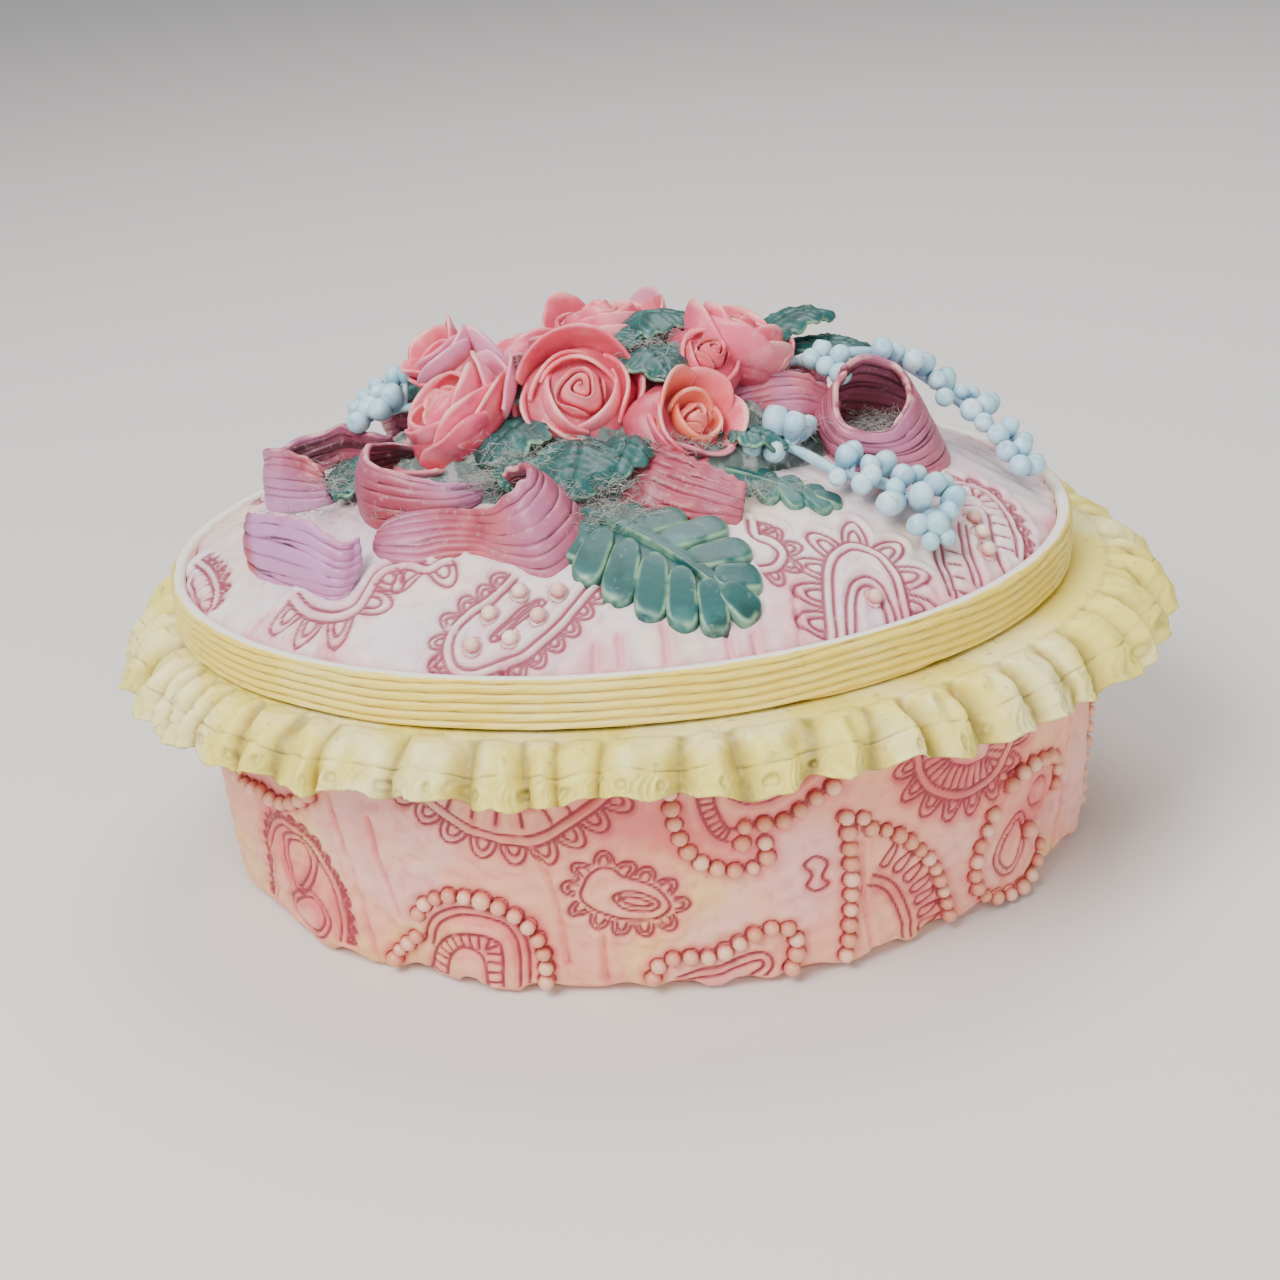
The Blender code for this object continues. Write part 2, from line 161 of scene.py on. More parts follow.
def lid_piece(name, shells, paint):
    """A piece of the lid: its shells are in the lid's
    own frame and are carried to where the lid rests."""
    c, s = math.cos(LID_TURN), math.sin(LID_TURN)
    for each in shells:
        x, y, z = each["verts"].T
        each["verts"] = np.stack([c * x - s * y + LID_SHIFT[0], s * x + c * y + LID_SHIFT[1], z], axis=-1)
    return piece(name, shells, paint, "lid")


# Materials

def linear(code):
    """Linear RGBA of a colour written as sRGB hex."""
    c = np.array([int(code[i:i + 2], 16) for i in (1, 3, 5)]) / 255
    return (*np.where(c <= 0.04045, c / 12.92, ((c + 0.055) / 1.055) ** 2.4).tolist(), 1.0)


def node(tree, kind, inputs=None, output=0, **settings):
    """Adds a node with its settings, sets or links its inputs, and gives one of its outputs."""
    made = tree.nodes.new("ShaderNode" + kind)
    for key, value in settings.items():
        setattr(made, key, value)
    for key, value in (inputs or {}).items():
        if isinstance(value, bpy.types.NodeSocket):
            tree.links.new(value, made.inputs[key])
        else:
            made.inputs[key].default_value = value
    return made.outputs[output]


def painted_resin(name, base, coats, roughness=0.48, gloss=0.12, grain=(800.0, 0.25)):
    """Cast resin, painted and washed by hand. Each coat is (colour, share, mark, noise): it lies where
    the mark on the mesh, or the mark read from low to high, and the noise (scale per metre, low, high)
    are both high. grain is the scale and depth of the fine unevenness that the mould leaves."""
    material = bpy.data.materials.new(name)
    material.use_nodes = True
    tree = material.node_tree
    shader = tree.nodes["Principled BSDF"]
    place = node(tree, "TexCoord", output="Object")
    colour = linear(base)
    for paint, share, mark, noise in coats:
        mask = share
        if mark:
            name, low, high = mark if isinstance(mark, tuple) else (mark, 0.0, 1.0)
            fac = node(tree, "Attribute", output="Fac", attribute_name=name)
            mask = node(tree, "MapRange", {0: fac, 1: low, 2: high, 4: share},
                        interpolation_type="SMOOTHSTEP")
        if noise:
            cloud = node(tree, "TexNoise", {"Vector": place, "Scale": noise[0], "Detail": 4.0})
            mask = node(tree, "MapRange", {0: cloud, 1: noise[1], 2: noise[2], 4: mask},
                        interpolation_type="SMOOTHSTEP")
        colour = node(tree, "Mix", {0: mask, 6: colour, 7: linear(paint)}, output=2, data_type="RGBA")
    tree.links.new(colour, shader.inputs["Base Color"])
    speck = node(tree, "TexNoise", {"Vector": place, "Scale": grain[0], "Detail": 3.0})
    bump = node(tree, "Bump", {"Height": speck, "Strength": grain[1], "Distance": 0.0004})
    tree.links.new(bump, shader.inputs["Normal"])
    shader.inputs["Roughness"].default_value = roughness
    shader.inputs["Coat Weight"].default_value = gloss
    shader.inputs["Coat Roughness"].default_value = 0.35
    shader.inputs["Specular IOR Level"].default_value = 0.4
    return material


# Relief drawn with strokes on a flat sheet

def through(points, place, closed=False):
    """The Catmull-Rom curve through the points, read at places counted in legs from the first point."""
    before = points[-1:] if closed else 2 * points[:1] - points[1:2]
    beyond = points[:2] if closed else 2 * points[-1:] - points[-2:-1]
    padded = np.vstack([before, points, beyond])
    leg = np.minimum(place.astype(int), len(padded) - 4)
    t = (place - leg)[:, None]
    p0, p1, p2, p3 = (padded[leg + k] for k in range(4))
    return 0.5 * (2 * p1 + (p2 - p0) * t + (2 * p0 - 5 * p1 + 4 * p2 - p3) * t**2
                  + (3 * p1 - p0 - 3 * p2 + p3) * t**3)


def smooth(points, step=0.7, closed=False):
    """A curve through the points, read about every step."""
    points = np.array(points, float)
    legs = len(points) if closed else len(points) - 1
    run = np.linalg.norm(np.diff(points, axis=0), axis=1).sum()
    return through(points, np.linspace(0, legs, max(int(run / step), 2) + 1), closed)


def bent(points, count):
    """A curve through points in space, read at this many equal steps."""
    points = np.array(points, float)
    return through(points, np.linspace(0, len(points) - 1, count))


def sideways(curve):
    """Unit vectors to the left of a flat curve."""
    along = np.gradient(curve, axis=0)
    along /= np.linalg.norm(along, axis=1)[:, None] + 1e-9
    return np.stack([-along[:, 1], along[:, 0]], axis=-1)


def beside(curve, distance):
    """The curve moved to its left."""
    return curve + sideways(curve) * distance


def band(curve, gap):
    """Two lines that run side by side."""
    return [beside(curve, gap / 2), beside(curve, -gap / 2)]


def spaced(curve, pitch, inset=0.5):
    """Places at equal steps along a curve, with the direction along it and to its left."""
    run = np.concatenate([[0], np.cumsum(np.linalg.norm(np.diff(curve, axis=0), axis=1))])
    count = max(int(round(run[-1] / pitch)), 1)
    at = (np.arange(count) + inset) * run[-1] / count
    place = np.stack([np.interp(at, run, curve[:, k]) for k in (0, 1)], axis=-1)
    left = np.stack([np.interp(at, run, sideways(curve)[:, k]) for k in (0, 1)], axis=-1)
    left /= np.linalg.norm(left, axis=1)[:, None]
    return place, left


def scallops(curve, pitch, length, side=1, inner=0.5, fill=0.88):
    """Loops that stand along one side of a curve, each a half oval with a smaller one inside it."""
    strokes = []
    turn = np.linspace(0, math.pi, 9)[:, None]
    for place, left in zip(*spaced(curve, pitch)):
        along = np.array([left[1], -left[0]])
        for share in (1.0, inner) if inner else (1.0,):
            strokes.append(place + along * np.cos(turn) * pitch / 2 * fill * share
                           + side * left * np.sin(turn) * length * (share if share == 1 else share * 1.15))
    return strokes


def edged(curve, gap, off, pitch, length):
    """A band with scallops along the side of it that off says, left or (below 0) right."""
    return band(curve, gap) + scallops(beside(curve, off), pitch, length, math.copysign(1, off))


def rungs(curve, pitch, reach, start=0.0):
    """Short strokes across, from start to reach on the left of a curve."""
    return [np.array([p + left * start, p + left * (start + (reach - start) / 2), p + left * reach])
            for p, left in zip(*spaced(curve, pitch))]


# Distances in mm: what counts as far from a line, and the largest that the paint is told
FAR, CLEAR = 9.0, 3.0


def away(place, strokes):
    """Distance from every point to the nearest stroke, or FAR where none is within 4 mm."""
    flat = place.reshape(-1, 2)
    best = np.full(len(flat), FAR)
    for stroke in strokes:
        low, high = stroke.min(0) - 4.0, stroke.max(0) + 4.0
        near = np.nonzero(((flat > low) & (flat < high)).all(axis=1))[0]
        if not len(near):
            continue
        start, leg = stroke[:-1], np.diff(stroke, axis=0)
        off = flat[near][:, None] - start
        along = np.clip((off * leg).sum(-1) / ((leg**2).sum(-1) + 1e-9), 0, 1)
        gap = np.linalg.norm(off - along[..., None] * leg, axis=-1).min(1)
        best[near] = np.minimum(best[near], gap)
    return best.reshape(place.shape[:-1])


def relief(gap, line=0.42, depth=0.5, lip=0.42):
    """Height of a stroke's section: a groove at the line between two raised lips."""
    return lip * hill(gap - 1.05, 0.6) - depth * hill(gap, line)


# Spines on the wall as (round, up) from the middle of the front, and on the dome as (x, y) of the lid
WALL_LINES = {
    "garland": [(-39, 39.5), (-35, 36.4), (-30.1, 32.3), (-27.4, 30.9), (-22.2, 29.8), (-17.1, 30.4),
                (-12.2, 33.6), (-7.4, 37.3), (-5, 40)],
    "garland_top": [(-34, 41), (-29.9, 38.2), (-24.7, 36.5), (-21.4, 36), (-17.9, 36.3), (-12, 39)],
    "comma": [(-12.2, 19.3), (-11.5, 21.6), (-10.5, 23.5), (-8.6, 24.7), (-6.7, 24.3), (-5.4, 22.7),
              (-3.5, 22), (-1.3, 21.1), (0.4, 19.6), (1.5, 17.2), (0.4, 15.4), (-1.5, 14.6), (-4.1, 14.5),
              (-6.4, 14.8), (-8.4, 15.7), (-10.6, 16.9)],
    "comma_in": [(-7.3, 18.8), (-5.7, 19.9), (-3, 19.7), (-0.7, 18.6), (-0.1, 17.2), (-1.7, 16.1),
                 (-4, 16.1), (-6.2, 17)],
    "arch": [(-39.5, 7.5), (-37.3, 12.2), (-33.3, 14.9), (-28.6, 15.7), (-24.4, 14.2), (-22.7, 11),
             (-22.5, 7), (-23, 1.4)],
    "arch_mid": [(-40.2, 1.5), (-38, 6.8), (-34.7, 10), (-30.5, 11.3), (-27.2, 10.7), (-25.9, 8.7),
                 (-26.5, 1.5)],
    "arch_in": [(-37, 1.5), (-35.5, 5.8), (-32.7, 8.4), (-29.9, 8), (-28.9, 5.7), (-29, 1.5)],
    "shield": [(-77.5, 3), (-74.2, 10.3), (-73.1, 16.1), (-71.1, 20.4), (-67.3, 23.4), (-64.3, 23.5),
               (-59.9, 22), (-57.8, 18.5), (-56.1, 14.3), (-55.6, 9), (-56.5, 3)],
    "tulip": [(-66.6, 20.3), (-62, 21.8), (-60, 18.7), (-61.9, 14.1), (-65.7, 10.5), (-67.1, 14)],
    "tulip_low": [(-66, 9.5), (-61.5, 11), (-59.4, 7), (-62, 3.2), (-67, 3.6), (-69, 6.6)],
    "hook": [(7.9, 41), (8, 35.6), (8.8, 32.4), (10, 30), (11.5, 29)],
    "hook_top": [(11.9, 36.5), (14.8, 34.9), (18.4, 35.3), (21.9, 37.2), (26, 40)],
    "fan": [(33.4, 15.9), (35.5, 14.6), (37.5, 12.6), (39.2, 9.2), (40.5, 5), (40.8, 0.8)],
    "ladder": [(41.3, 37), (42.4, 32.1), (44.3, 29.2), (46.9, 27.3), (50.3, 26), (54.9, 25.7), (58.3, 27),
               (60.2, 29.9), (61, 33.1), (60.5, 38)],
    "drop": [(58.8, 9.4), (59.4, 12.5), (61.3, 14.9), (63.7, 16.3), (65.2, 13.4), (64.6, 9.7),
             (63.1, 7.4), (60.9, 6.5)],
    "boot": [(2.4, 2), (5.3, 3.3), (8.9, 3.8), (12.6, 5.4), (15.5, 5.6), (16.2, 3.4), (13.6, 0.8)],
    "crack": [(22.5, 21.5), (24.5, 22.5), (26.5, 20.8), (25.4, 18.6), (26.6, 17), (24.4, 16.2),
              (22.8, 17.8), (23.9, 19.4)],
}
WALL_CREASES = [
    [(31.6, 29.5), (31.9, 20.2), (32.1, 12.4), (33.3, 6.7), (34.1, 0.3)],
    [(-9.2, 12.5), (-9.6, 8), (-9.4, 0.7)],
    [(-45.6, 31), (-45.4, 24), (-44.4, 18.8), (-43.5, 12)],
    [(-52.5, 34), (-51.8, 25), (-50.6, 12), (-49.8, 1)],
    [(78.5, 38), (77.5, 25), (78.2, 10), (77.4, 1)],
    [(-17.5, 27.5), (-15.9, 18), (-15.4, 6)],
]
WALL_BEADS = [
    [(-47.3, 1.6), (-45.6, 4.6), (-42.9, 7.1), (-40.6, 9.4)],
    [(-40.7, 12.2), (-39.1, 15), (-37, 16.8), (-34.7, 18), (-32, 18.6), (-27.5, 18.2), (-23.2, 16),
     (-20.4, 12.6), (-19.2, 8.6), (-19.2, 4.1), (-19.7, 1.5)],
    [(-82.3, 29.8), (-78.5, 28.2), (-75, 27.2), (-70.7, 28.1), (-65.2, 28.1), (-61, 29.6), (-56.8, 32.5),
     (-54.4, 36)],
    [(2.7, 39.5), (2.9, 34.4), (3.4, 31), (4.6, 27.6), (6.9, 24.8), (9.6, 23.4), (12.4, 22.7),
     (15.6, 23.3), (17, 25.4), (15.9, 28.4)],
    [(12, 30.4), (15.4, 30.6), (19.9, 30.6), (23.7, 33), (28.6, 35.4)],
    [(29.1, 30.2), (29.6, 26.9), (30, 21.6), (30.1, 15.5), (29.8, 9.7), (29.5, 4.6), (28.6, 1.5)],
    [(31.9, 29.4), (32.6, 26.2), (35.7, 24.7), (39.3, 22), (41.6, 19.5), (43.8, 16.8), (45.7, 13.5),
     (47.2, 9.7), (48.6, 5.7), (49.7, 1.5)],
    [(57.9, 20.6), (56.4, 17.2), (54.8, 13.4), (54.3, 9.2), (55.4, 5.3), (58, 2.8), (62, 1.8), (66, 2.2),
     (69.9, 4.6), (71.2, 8.4)],
    [(59.7, 22.6), (62.5, 24.4), (66, 25), (70, 24.2), (73.5, 22.9), (75, 19.4), (74.4, 15.6)],
    [(92.5, 30), (94.4, 24), (94.6, 17), (93.8, 11), (93.6, 6), (94.6, 1.6)],
    [(-2.2, 1.8), (-1.8, 4.8), (0.6, 6.8), (3.6, 7.2), (7.1, 6.9), (10, 7.8), (13.2, 9.8), (16.5, 11.1),
     (19.4, 10.7), (21, 7.6), (20.6, 4.4), (19.4, 1.5)],
]
WALL_BLOBS = [(-2.5, 33, 8, 0.75), (-70, 27, 7, 0.5), (51, 24, 8, 0.45), (13, 29, 7, 0.45),
              (-31, 7, 8, 0.3), (-12, 12, 6, -0.35), (-30, 24, 7, -0.3), (22, 20, 7, -0.25),
              (30, 42, 14, 0.3), (-8, 4, 5, 0.2), (62, 12, 9, 0.35), (-63, 13, 8, 0.4), (8, 2, 6, 0.4),
              (45, 33, 6, 0.4)]
DOME_LINES = {
    "edge": [(-70.9, -3.9), (-68.5, -8.8), (-66.8, -13.2), (-65.7, -17.1), (-65.9, -20), (-67, -22.1)],
    "edge_in": [(-71.8, -7.4), (-70.5, -13.3), (-68.6, -19.2)],
    "wave": [(-51.4, -28.8), (-49.6, -32), (-46.7, -34.7), (-43.4, -36.2), (-40.7, -35.8), (-39.2, -33.6),
             (-37.7, -31.2), (-35.6, -29.9), (-32.9, -30.1), (-29.7, -32.4), (-27.2, -31.7),
             (-25, -32.2)],
    "pod": [(-16.4, -37.8), (-19.6, -40.8), (-23.1, -42.1), (-25.7, -44.2), (-26.7, -47), (-26, -50.2),
            (-23.4, -51.7), (-20.8, -51.7), (-15.9, -51), (-12.4, -49.2), (-9.3, -46.5), (-6.6, -43.7),
            (-3.7, -41)],
    "pod_in": [(-20.2, -46.9), (-17.9, -45.3), (-15.6, -43.3), (-12.9, -42.1), (-11.8, -42.9),
               (-14.1, -44.4), (-16.9, -46.4), (-19.5, -47.7)],
    "swirl": [(20.6, -29.6), (20.8, -32.6), (23.2, -33.9), (24.6, -36), (23.4, -38.6), (20.9, -39.6)],
    "arch": [(30, -50.1), (30.3, -44.1), (30.8, -39.5), (32, -36.2), (34.5, -33.7), (36.8, -33.5),
             (39.1, -34.4), (40.7, -36.7), (41.6, -39.5), (41.9, -45)],
    "arch_in": [(33.1, -49.1), (33.5, -44.5), (34.7, -41.1), (36.6, -39.9), (38.1, -40.7), (39.1, -43.1),
                (39.5, -46.1)],
    "bow": [(52.2, -13.9), (55.5, -11.7), (58.8, -11.5), (61.6, -13.9), (62.8, -18.3), (62.9, -23.2),
            (62.9, -27.6)],
    "bow_mid": [(53.8, -18.9), (56.8, -17.6), (58.8, -19.1), (58.8, -24.1), (58.9, -29), (59.7, -32.1)],
    "bow_in": [(53.9, -24), (53.7, -29.2), (54, -32.5), (54.3, -36.4)],
    "bow_low": [(49.1, -29.2), (49, -33.3), (49.3, -36), (49.5, -40)],
}
CLOSED = ("comma", "comma_in", "tulip", "tulip_low", "drop", "crack", "pod_in")
DOME_FOLDS = [((25.1, -43.2), (25.3, -51.4)), ((-44.3, -42), (-45.5, -44.2)), ((-28.3, -48.5),
                                                                               (-28.6, -51)),
              ((-18.2, -51.6), (-18.4, -53)), ((-4.8, -51), (-5, -54)), ((-1.3, -50.4), (-1.2, -54)),
              ((5.4, -49), (5.5, -54)), ((14.6, -50.4), (14.8, -53.6)), ((18.4, -50.4), (18.6, -53.2)),
              ((-57, -31), (-60, -33.6)), ((46, -38.6), (48.4, -42.4)), ((64, -24), (67, -26.5))]
DOME_PEARLS = [(-22.9, -47.9), (-20.1, -43.7), (-15.5, -41), (-12.9, -45.4), (-9.8, -41.8),
               (-17.2, -48.1), (37.2, -42.8), (56, -21.9), (56.6, -25.2), (56.9, -28.8)]


def wall_strokes():
    """Every relief line on the front of the wall."""
    line = {name: smooth(points, closed=name in CLOSED) for name, points in WALL_LINES.items()}
    strokes = [line[name] for name in ("garland_top", "comma", "comma_in", "arch_mid", "arch_in", "crack")]
    strokes += edged(line["garland"], 1.8, -0.9, 4.8, 3.7) + rungs(line["garland_top"], 3.4, -3.6, -0.8)
    strokes += edged(line["shield"], 1.4, 0.7, 2.7, 1.7) + edged(line["ladder"], 1.6, -0.8, 4.2, 3.8)
    strokes += [beside(line["comma_in"], -1.1), beside(line["ladder"], 5.0)]
    strokes += scallops(beside(line["comma"], 0.9), 3.4, 2.3)
    for name, gap in (("arch", 1.5), ("tulip", 1.3), ("tulip_low", 1.3), ("hook", 2.4), ("hook_top", 1.6),
                      ("fan", 1.7), ("drop", 1.3), ("boot", 1.5)):
        strokes += band(line[name], gap)
    strokes += rungs(line["arch_mid"], 1.9, -2.4, -0.3) + rungs(line["ladder"], 1.9, 4.6, 1.2)
    strokes += rungs(beside(line["hook"], -1.2), 1.3, 2.4)
    for length in (3.6, -0.8):
        strokes += scallops(beside(line["fan"], 3.2), 2.9, length, 1, 0, 0.62)
    turn = np.linspace(0, TAU, 17)
    return strokes + [pairs(68.5 + 2.6 * np.cos(turn), 18.6 + 2.6 * np.sin(turn))]


def dome_strokes():
    """Every relief line on the front of the dome."""
    line = {name: smooth(points, closed=name in CLOSED) for name, points in DOME_LINES.items()}
    strokes = [line["edge_in"], line["pod_in"], beside(line["pod_in"], -1.1), line["bow_mid"]]
    for name, gap, off, pitch, length in (
            ("edge", 1.3, 0.7, 2.8, 1.8), ("wave", 1.8, -0.9, 4.6, 4.6), ("pod", 1.5, -0.8, 3.2, 2.2),
            ("swirl", 1.6, 0.8, 3.2, 2.6), ("arch", 1.5, 0.8, 4.4, 4.4), ("bow", 1.3, 0.7, 3.0, 1.9)):
        strokes += edged(line[name], gap, off, pitch, length)
    strokes += band(line["arch_in"], 1.3) + band(line["bow_in"], 1.2) + band(line["bow_low"], 1.2)
    strokes += rungs(line["edge"], 2.6, -3.2, -0.8) + rungs(line["bow"], 2.6, -3.4, -1.4)
    return strokes + rungs(line["bow_low"], 3.0, 3.0, 1.4)


# The pot

def fold_wave(angles, folds):
    """sin(n t + 1.3 sin 3t + 0.8 sin(5t + 1)): folds whose pitch drifts as they go round."""
    return np.sin(folds * angles + 1.3 * np.sin(3 * angles) + 0.8 * np.sin(5 * angles + 1))


def front_dense(cols):
    """Angles round the oval from behind, by the left end,
    to behind again: closest together at the front."""
    u = np.linspace(-math.pi, math.pi, cols, endpoint=False)
    return u - math.pi / 2 - 0.5 * np.sin(u)


FINE_ANGLES = np.linspace(-1.5 * math.pi, 1.5 * math.pi, 9001)


def round_length(angles, half_length, half_width):
    """Distance along an oval from its front (t = -90 degrees), for each angle."""
    legs = np.hypot(half_length * np.diff(np.cos(FINE_ANGLES)), half_width * np.diff(np.sin(FINE_ANGLES)))
    run = np.concatenate([[0], np.cumsum(legs)])
    return np.interp(angles, FINE_ANGLES, run) - np.interp(-math.pi / 2, FINE_ANGLES, run)


WALL_OVAL = (FOOT_A + SPREAD / 2, FOOT_B + SPREAD / 2)
HALF_ROUND = round_length(math.pi / 2, *WALL_OVAL)
GATHER_TURN = 0.4


def wall_point(run, height, out=0.0):
    """Points of the wall at a distance round it and a height, moved out along their normals; and these."""
    angle = np.interp(run, round_length(FINE_ANGLES, *WALL_OVAL), FINE_ANGLES)
    gather = GATHER_DEPTH * fold_wave(angle + GATHER_TURN, GATHERS)
    share = height / BOX_HEIGHT
    swell = (SPREAD - GATHER_DEPTH) * share + gather * (1 - share) ** 2
    place = oval_ring(FOOT_A, FOOT_B, height, angle, swell)
    normal = np.stack([np.cos(angle) / FOOT_A, np.sin(angle) / FOOT_B, 0 * angle], axis=-1)
    normal /= np.linalg.norm(normal, axis=-1)[..., None]
    return place + normal * np.reshape(out, np.shape(out) + (1,)), normal


def all_round(strokes):
    """The strokes, and again half way round the wall to either side, for its hidden half."""
    return [stroke + (shift, 0) for shift in (0, HALF_ROUND, -HALF_ROUND) for stroke in strokes]


def wall_relief(sheet, pearls):
    """Relief height, distance to a line and wash over the
    wall: lines, creases, soft folds, rings at pearls."""
    gap = away(sheet, all_round(wall_strokes()))
    crease = away(sheet, all_round([smooth(points) for points in WALL_CREASES]))
    flat = sheet.reshape(-1, 2)
    ring = np.full(len(flat), FAR)
    for x, z, radius in pearls:
        near = np.nonzero((abs(flat[:, 0] - x) < 4) & (abs(flat[:, 1] - z) < 4))[0]
        ring[near] = np.minimum(ring[near], abs(np.hypot(flat[near, 0] - x, flat[near, 1] - z) - radius))
    ring = ring.reshape(sheet.shape[:2])
    soft = 0.35 * wobble(sheet * (1, 0.35), 16, 5) + 0.16 * wobble(sheet, 5, 6)
    height = relief(gap) + soft + 0.9 * hill(crease, 2.2) - 1.1 * hill(crease, 0.6) - 0.3 * hill(ring, 0.5)
    gap = np.minimum(np.minimum(gap, ring + 0.05), crease * 1.4 + 0.25)
    wash = 0.05 + 0.55 * hill(gap, 1.2) + 0.25 * wobble(sheet, 22, 8) + 0.10 * wobble(sheet, 4, 9)
    for x, z, radius, strength in WALL_BLOBS:
        for turn in (-HALF_ROUND, 0, HALF_ROUND):
            far = ((sheet[..., 0] - x - turn) ** 2 + (sheet[..., 1] - z) ** 2) / radius**2
            wash = wash + 0.8 * strength * np.exp(-far)
    return height, np.minimum(gap, CLEAR), np.clip(wash, 0, 1)


PEARL_PITCH, PEARL_RADIUS = 2.8, 1.32


def wall_pearls():
    """(round, up, radius) of every pearl on the wall, the hidden half repeating the front."""
    rng = np.random.default_rng(3)
    pearls = []
    for spine in WALL_BEADS:
        for x, z in spaced(smooth(spine), PEARL_PITCH)[0]:
            pearls.append((x, z, PEARL_RADIUS + 0.08 * rng.standard_normal()))
    pearls += [(66.0, 12.5, 1.6), (13.0, 27.6, 1.4)]
    return pearls + [(x + (HALF_ROUND if x < 0 else -HALF_ROUND), z, radius) for x, z, radius in pearls]


def build_pot():
    """The pot as one closed loft: underside, foot, relief wall, flange, mouth, hollow and floor."""
    angles = front_dense(720)
    run = round_length(angles, *WALL_OVAL)
    sheet = pairs(run[None, :], np.linspace(1.6, 45.0, 90)[:, None])
    pearls = wall_pearls()
    height, gap, wash = wall_relief(sheet, pearls)
    fade = np.clip((sheet[..., 1] - 1.0) / 1.5, 0, 1)
    wall = wall_point(sheet[..., 0], sheet[..., 1], height * fade)[0]
    tuck = np.clip(wobble(pairs(run, 0.0), 11, 12) * 1.6 + 0.5, 0, 1.9)
    wall[..., 2] += tuck * np.clip(1 - sheet[..., 1] / 5, 0, 1) ** 1.5
    wave = fold_wave(angles + GATHER_TURN, GATHERS) * GATHER_DEPTH
    # (out, up) of the rings below the wall, with the share of the tuck that lifts the cloth's foot there
    below = [oval_ring(FOOT_A, FOOT_B, z + tucked * tuck, angles, out + wave)
             for out, z, tucked in ((-9.0, 0.0, 0.0), (-2.9, 0.0, 0.0), (-1.9, 0.3, 0.6), (-0.6, 0.6, 1.0))]
    above = [oval_ring(MOUTH_A, MOUTH_B, z, angles, out) for out, z in (
        (-1.2, 46.2), (-2.4, 47.2), (0.6 - MOUTH_IN, 47.4), (-MOUTH_IN, 47.0), (-MOUTH_IN, 44.0))]
    above += [oval_ring(FOOT_A, FOOT_B, z, angles, out) for out, z in (
        (SPREAD * 40 / BOX_HEIGHT - 5.9, 40.0), (-6.8, 7.0), (-9.0, FLOOR))]
    points = np.concatenate([below, wall, above])
    gap = np.pad(gap, ((len(below), len(above)), (0, 0)), constant_values=CLEAR)
    wash = np.pad(wash, ((len(below), len(above)), (0, 0)), constant_values=0.25)
    # Matt resin cloth: peach flesh, pink wash gathered round the relief, dusky red left in its grooves
    paint = painted_resin("cast_resin_pink_wash", "#f3aa8c", [
        ("#f3c67c", 0.8, None, (60.0, 0.5, 0.64)), ("#f0b6ae", 0.7, None, (35.0, 0.5, 0.62)),
        ("#de5f62", 0.8, "wash", None), ("#d86a6a", 0.35, None, (420.0, 0.5, 0.7)),
        ("#92293a", 0.95, ("gap", 0.46, 0.12), (260.0, 0.2, 0.38))], 0.5, 0.1, (900.0, 0.3))
    box_piece("pot", [shell(points, foot=(0, 0, 0), top=(0, 0, FLOOR), gap=gap, wash=wash)], paint)
    places = [(*wall_point(np.array(x), np.array(z), 0.25), radius) for x, z, radius in pearls]
    build_pearls("wall_pearls", places, box_piece, "#dc9272", "#eebb9c")


def ball(centre, radius, rows=7, cols=10, flat=1.0, way=(0, 0, 1), **marks):
    """A sphere, or with flat an egg, round centre, with its axis along way."""
    rise = np.linspace(-math.pi / 2, math.pi / 2, rows + 2)[1:-1, None]
    turn = np.linspace(0, TAU, cols, endpoint=False)[None, :]
    z = np.array(way, float) / np.linalg.norm(way)
    x = np.cross(z, (0.3, 0.9, 0.1))
    x /= np.linalg.norm(x)
    y = np.cross(z, x)
    points = (np.cos(rise) * np.cos(turn))[..., None] * x + (np.cos(rise) * np.sin(turn))[..., None] * y
    points = centre + radius * (points + flat * (np.sin(rise) + 0 * turn)[..., None] * z)
    return shell(points, foot=centre - radius * flat * z, top=centre + radius * flat * z, **marks)


def build_pearls(name, pearls, make, base, light):
    """Small cast pearls, each half sunk in the cloth; their wash is deeper where they meet it."""
    rng = np.random.default_rng(11)
    shells = []
    for place, normal, radius in pearls:
        made = ball(place, radius, 5, 8, way=normal)
        lift = (made["verts"] - place) @ normal / radius
        made["marks"] = {"wash": np.clip(0.75 - 0.9 * lift, 0, 1) * 0.8,
                         "tone": np.full(len(lift), rng.uniform())}
        shells.append(made)
    # Satin cream beads, pink where the wash has run round their feet
    paint = painted_resin(name + "_resin", base, [
        (light, 1.0, "tone", None), ("#b84c50", 1.0, "wash", None)], 0.38, 0.25)
    make(name, shells, paint)


# The ruffle

# Number of pleats, pitch of the eyelets, and where the lace and its seam are as shares of the way out
PLEATS, EYELET_PITCH, LACE_FROM, SEAM_AT = 58, 7.1, 0.66, 0.62


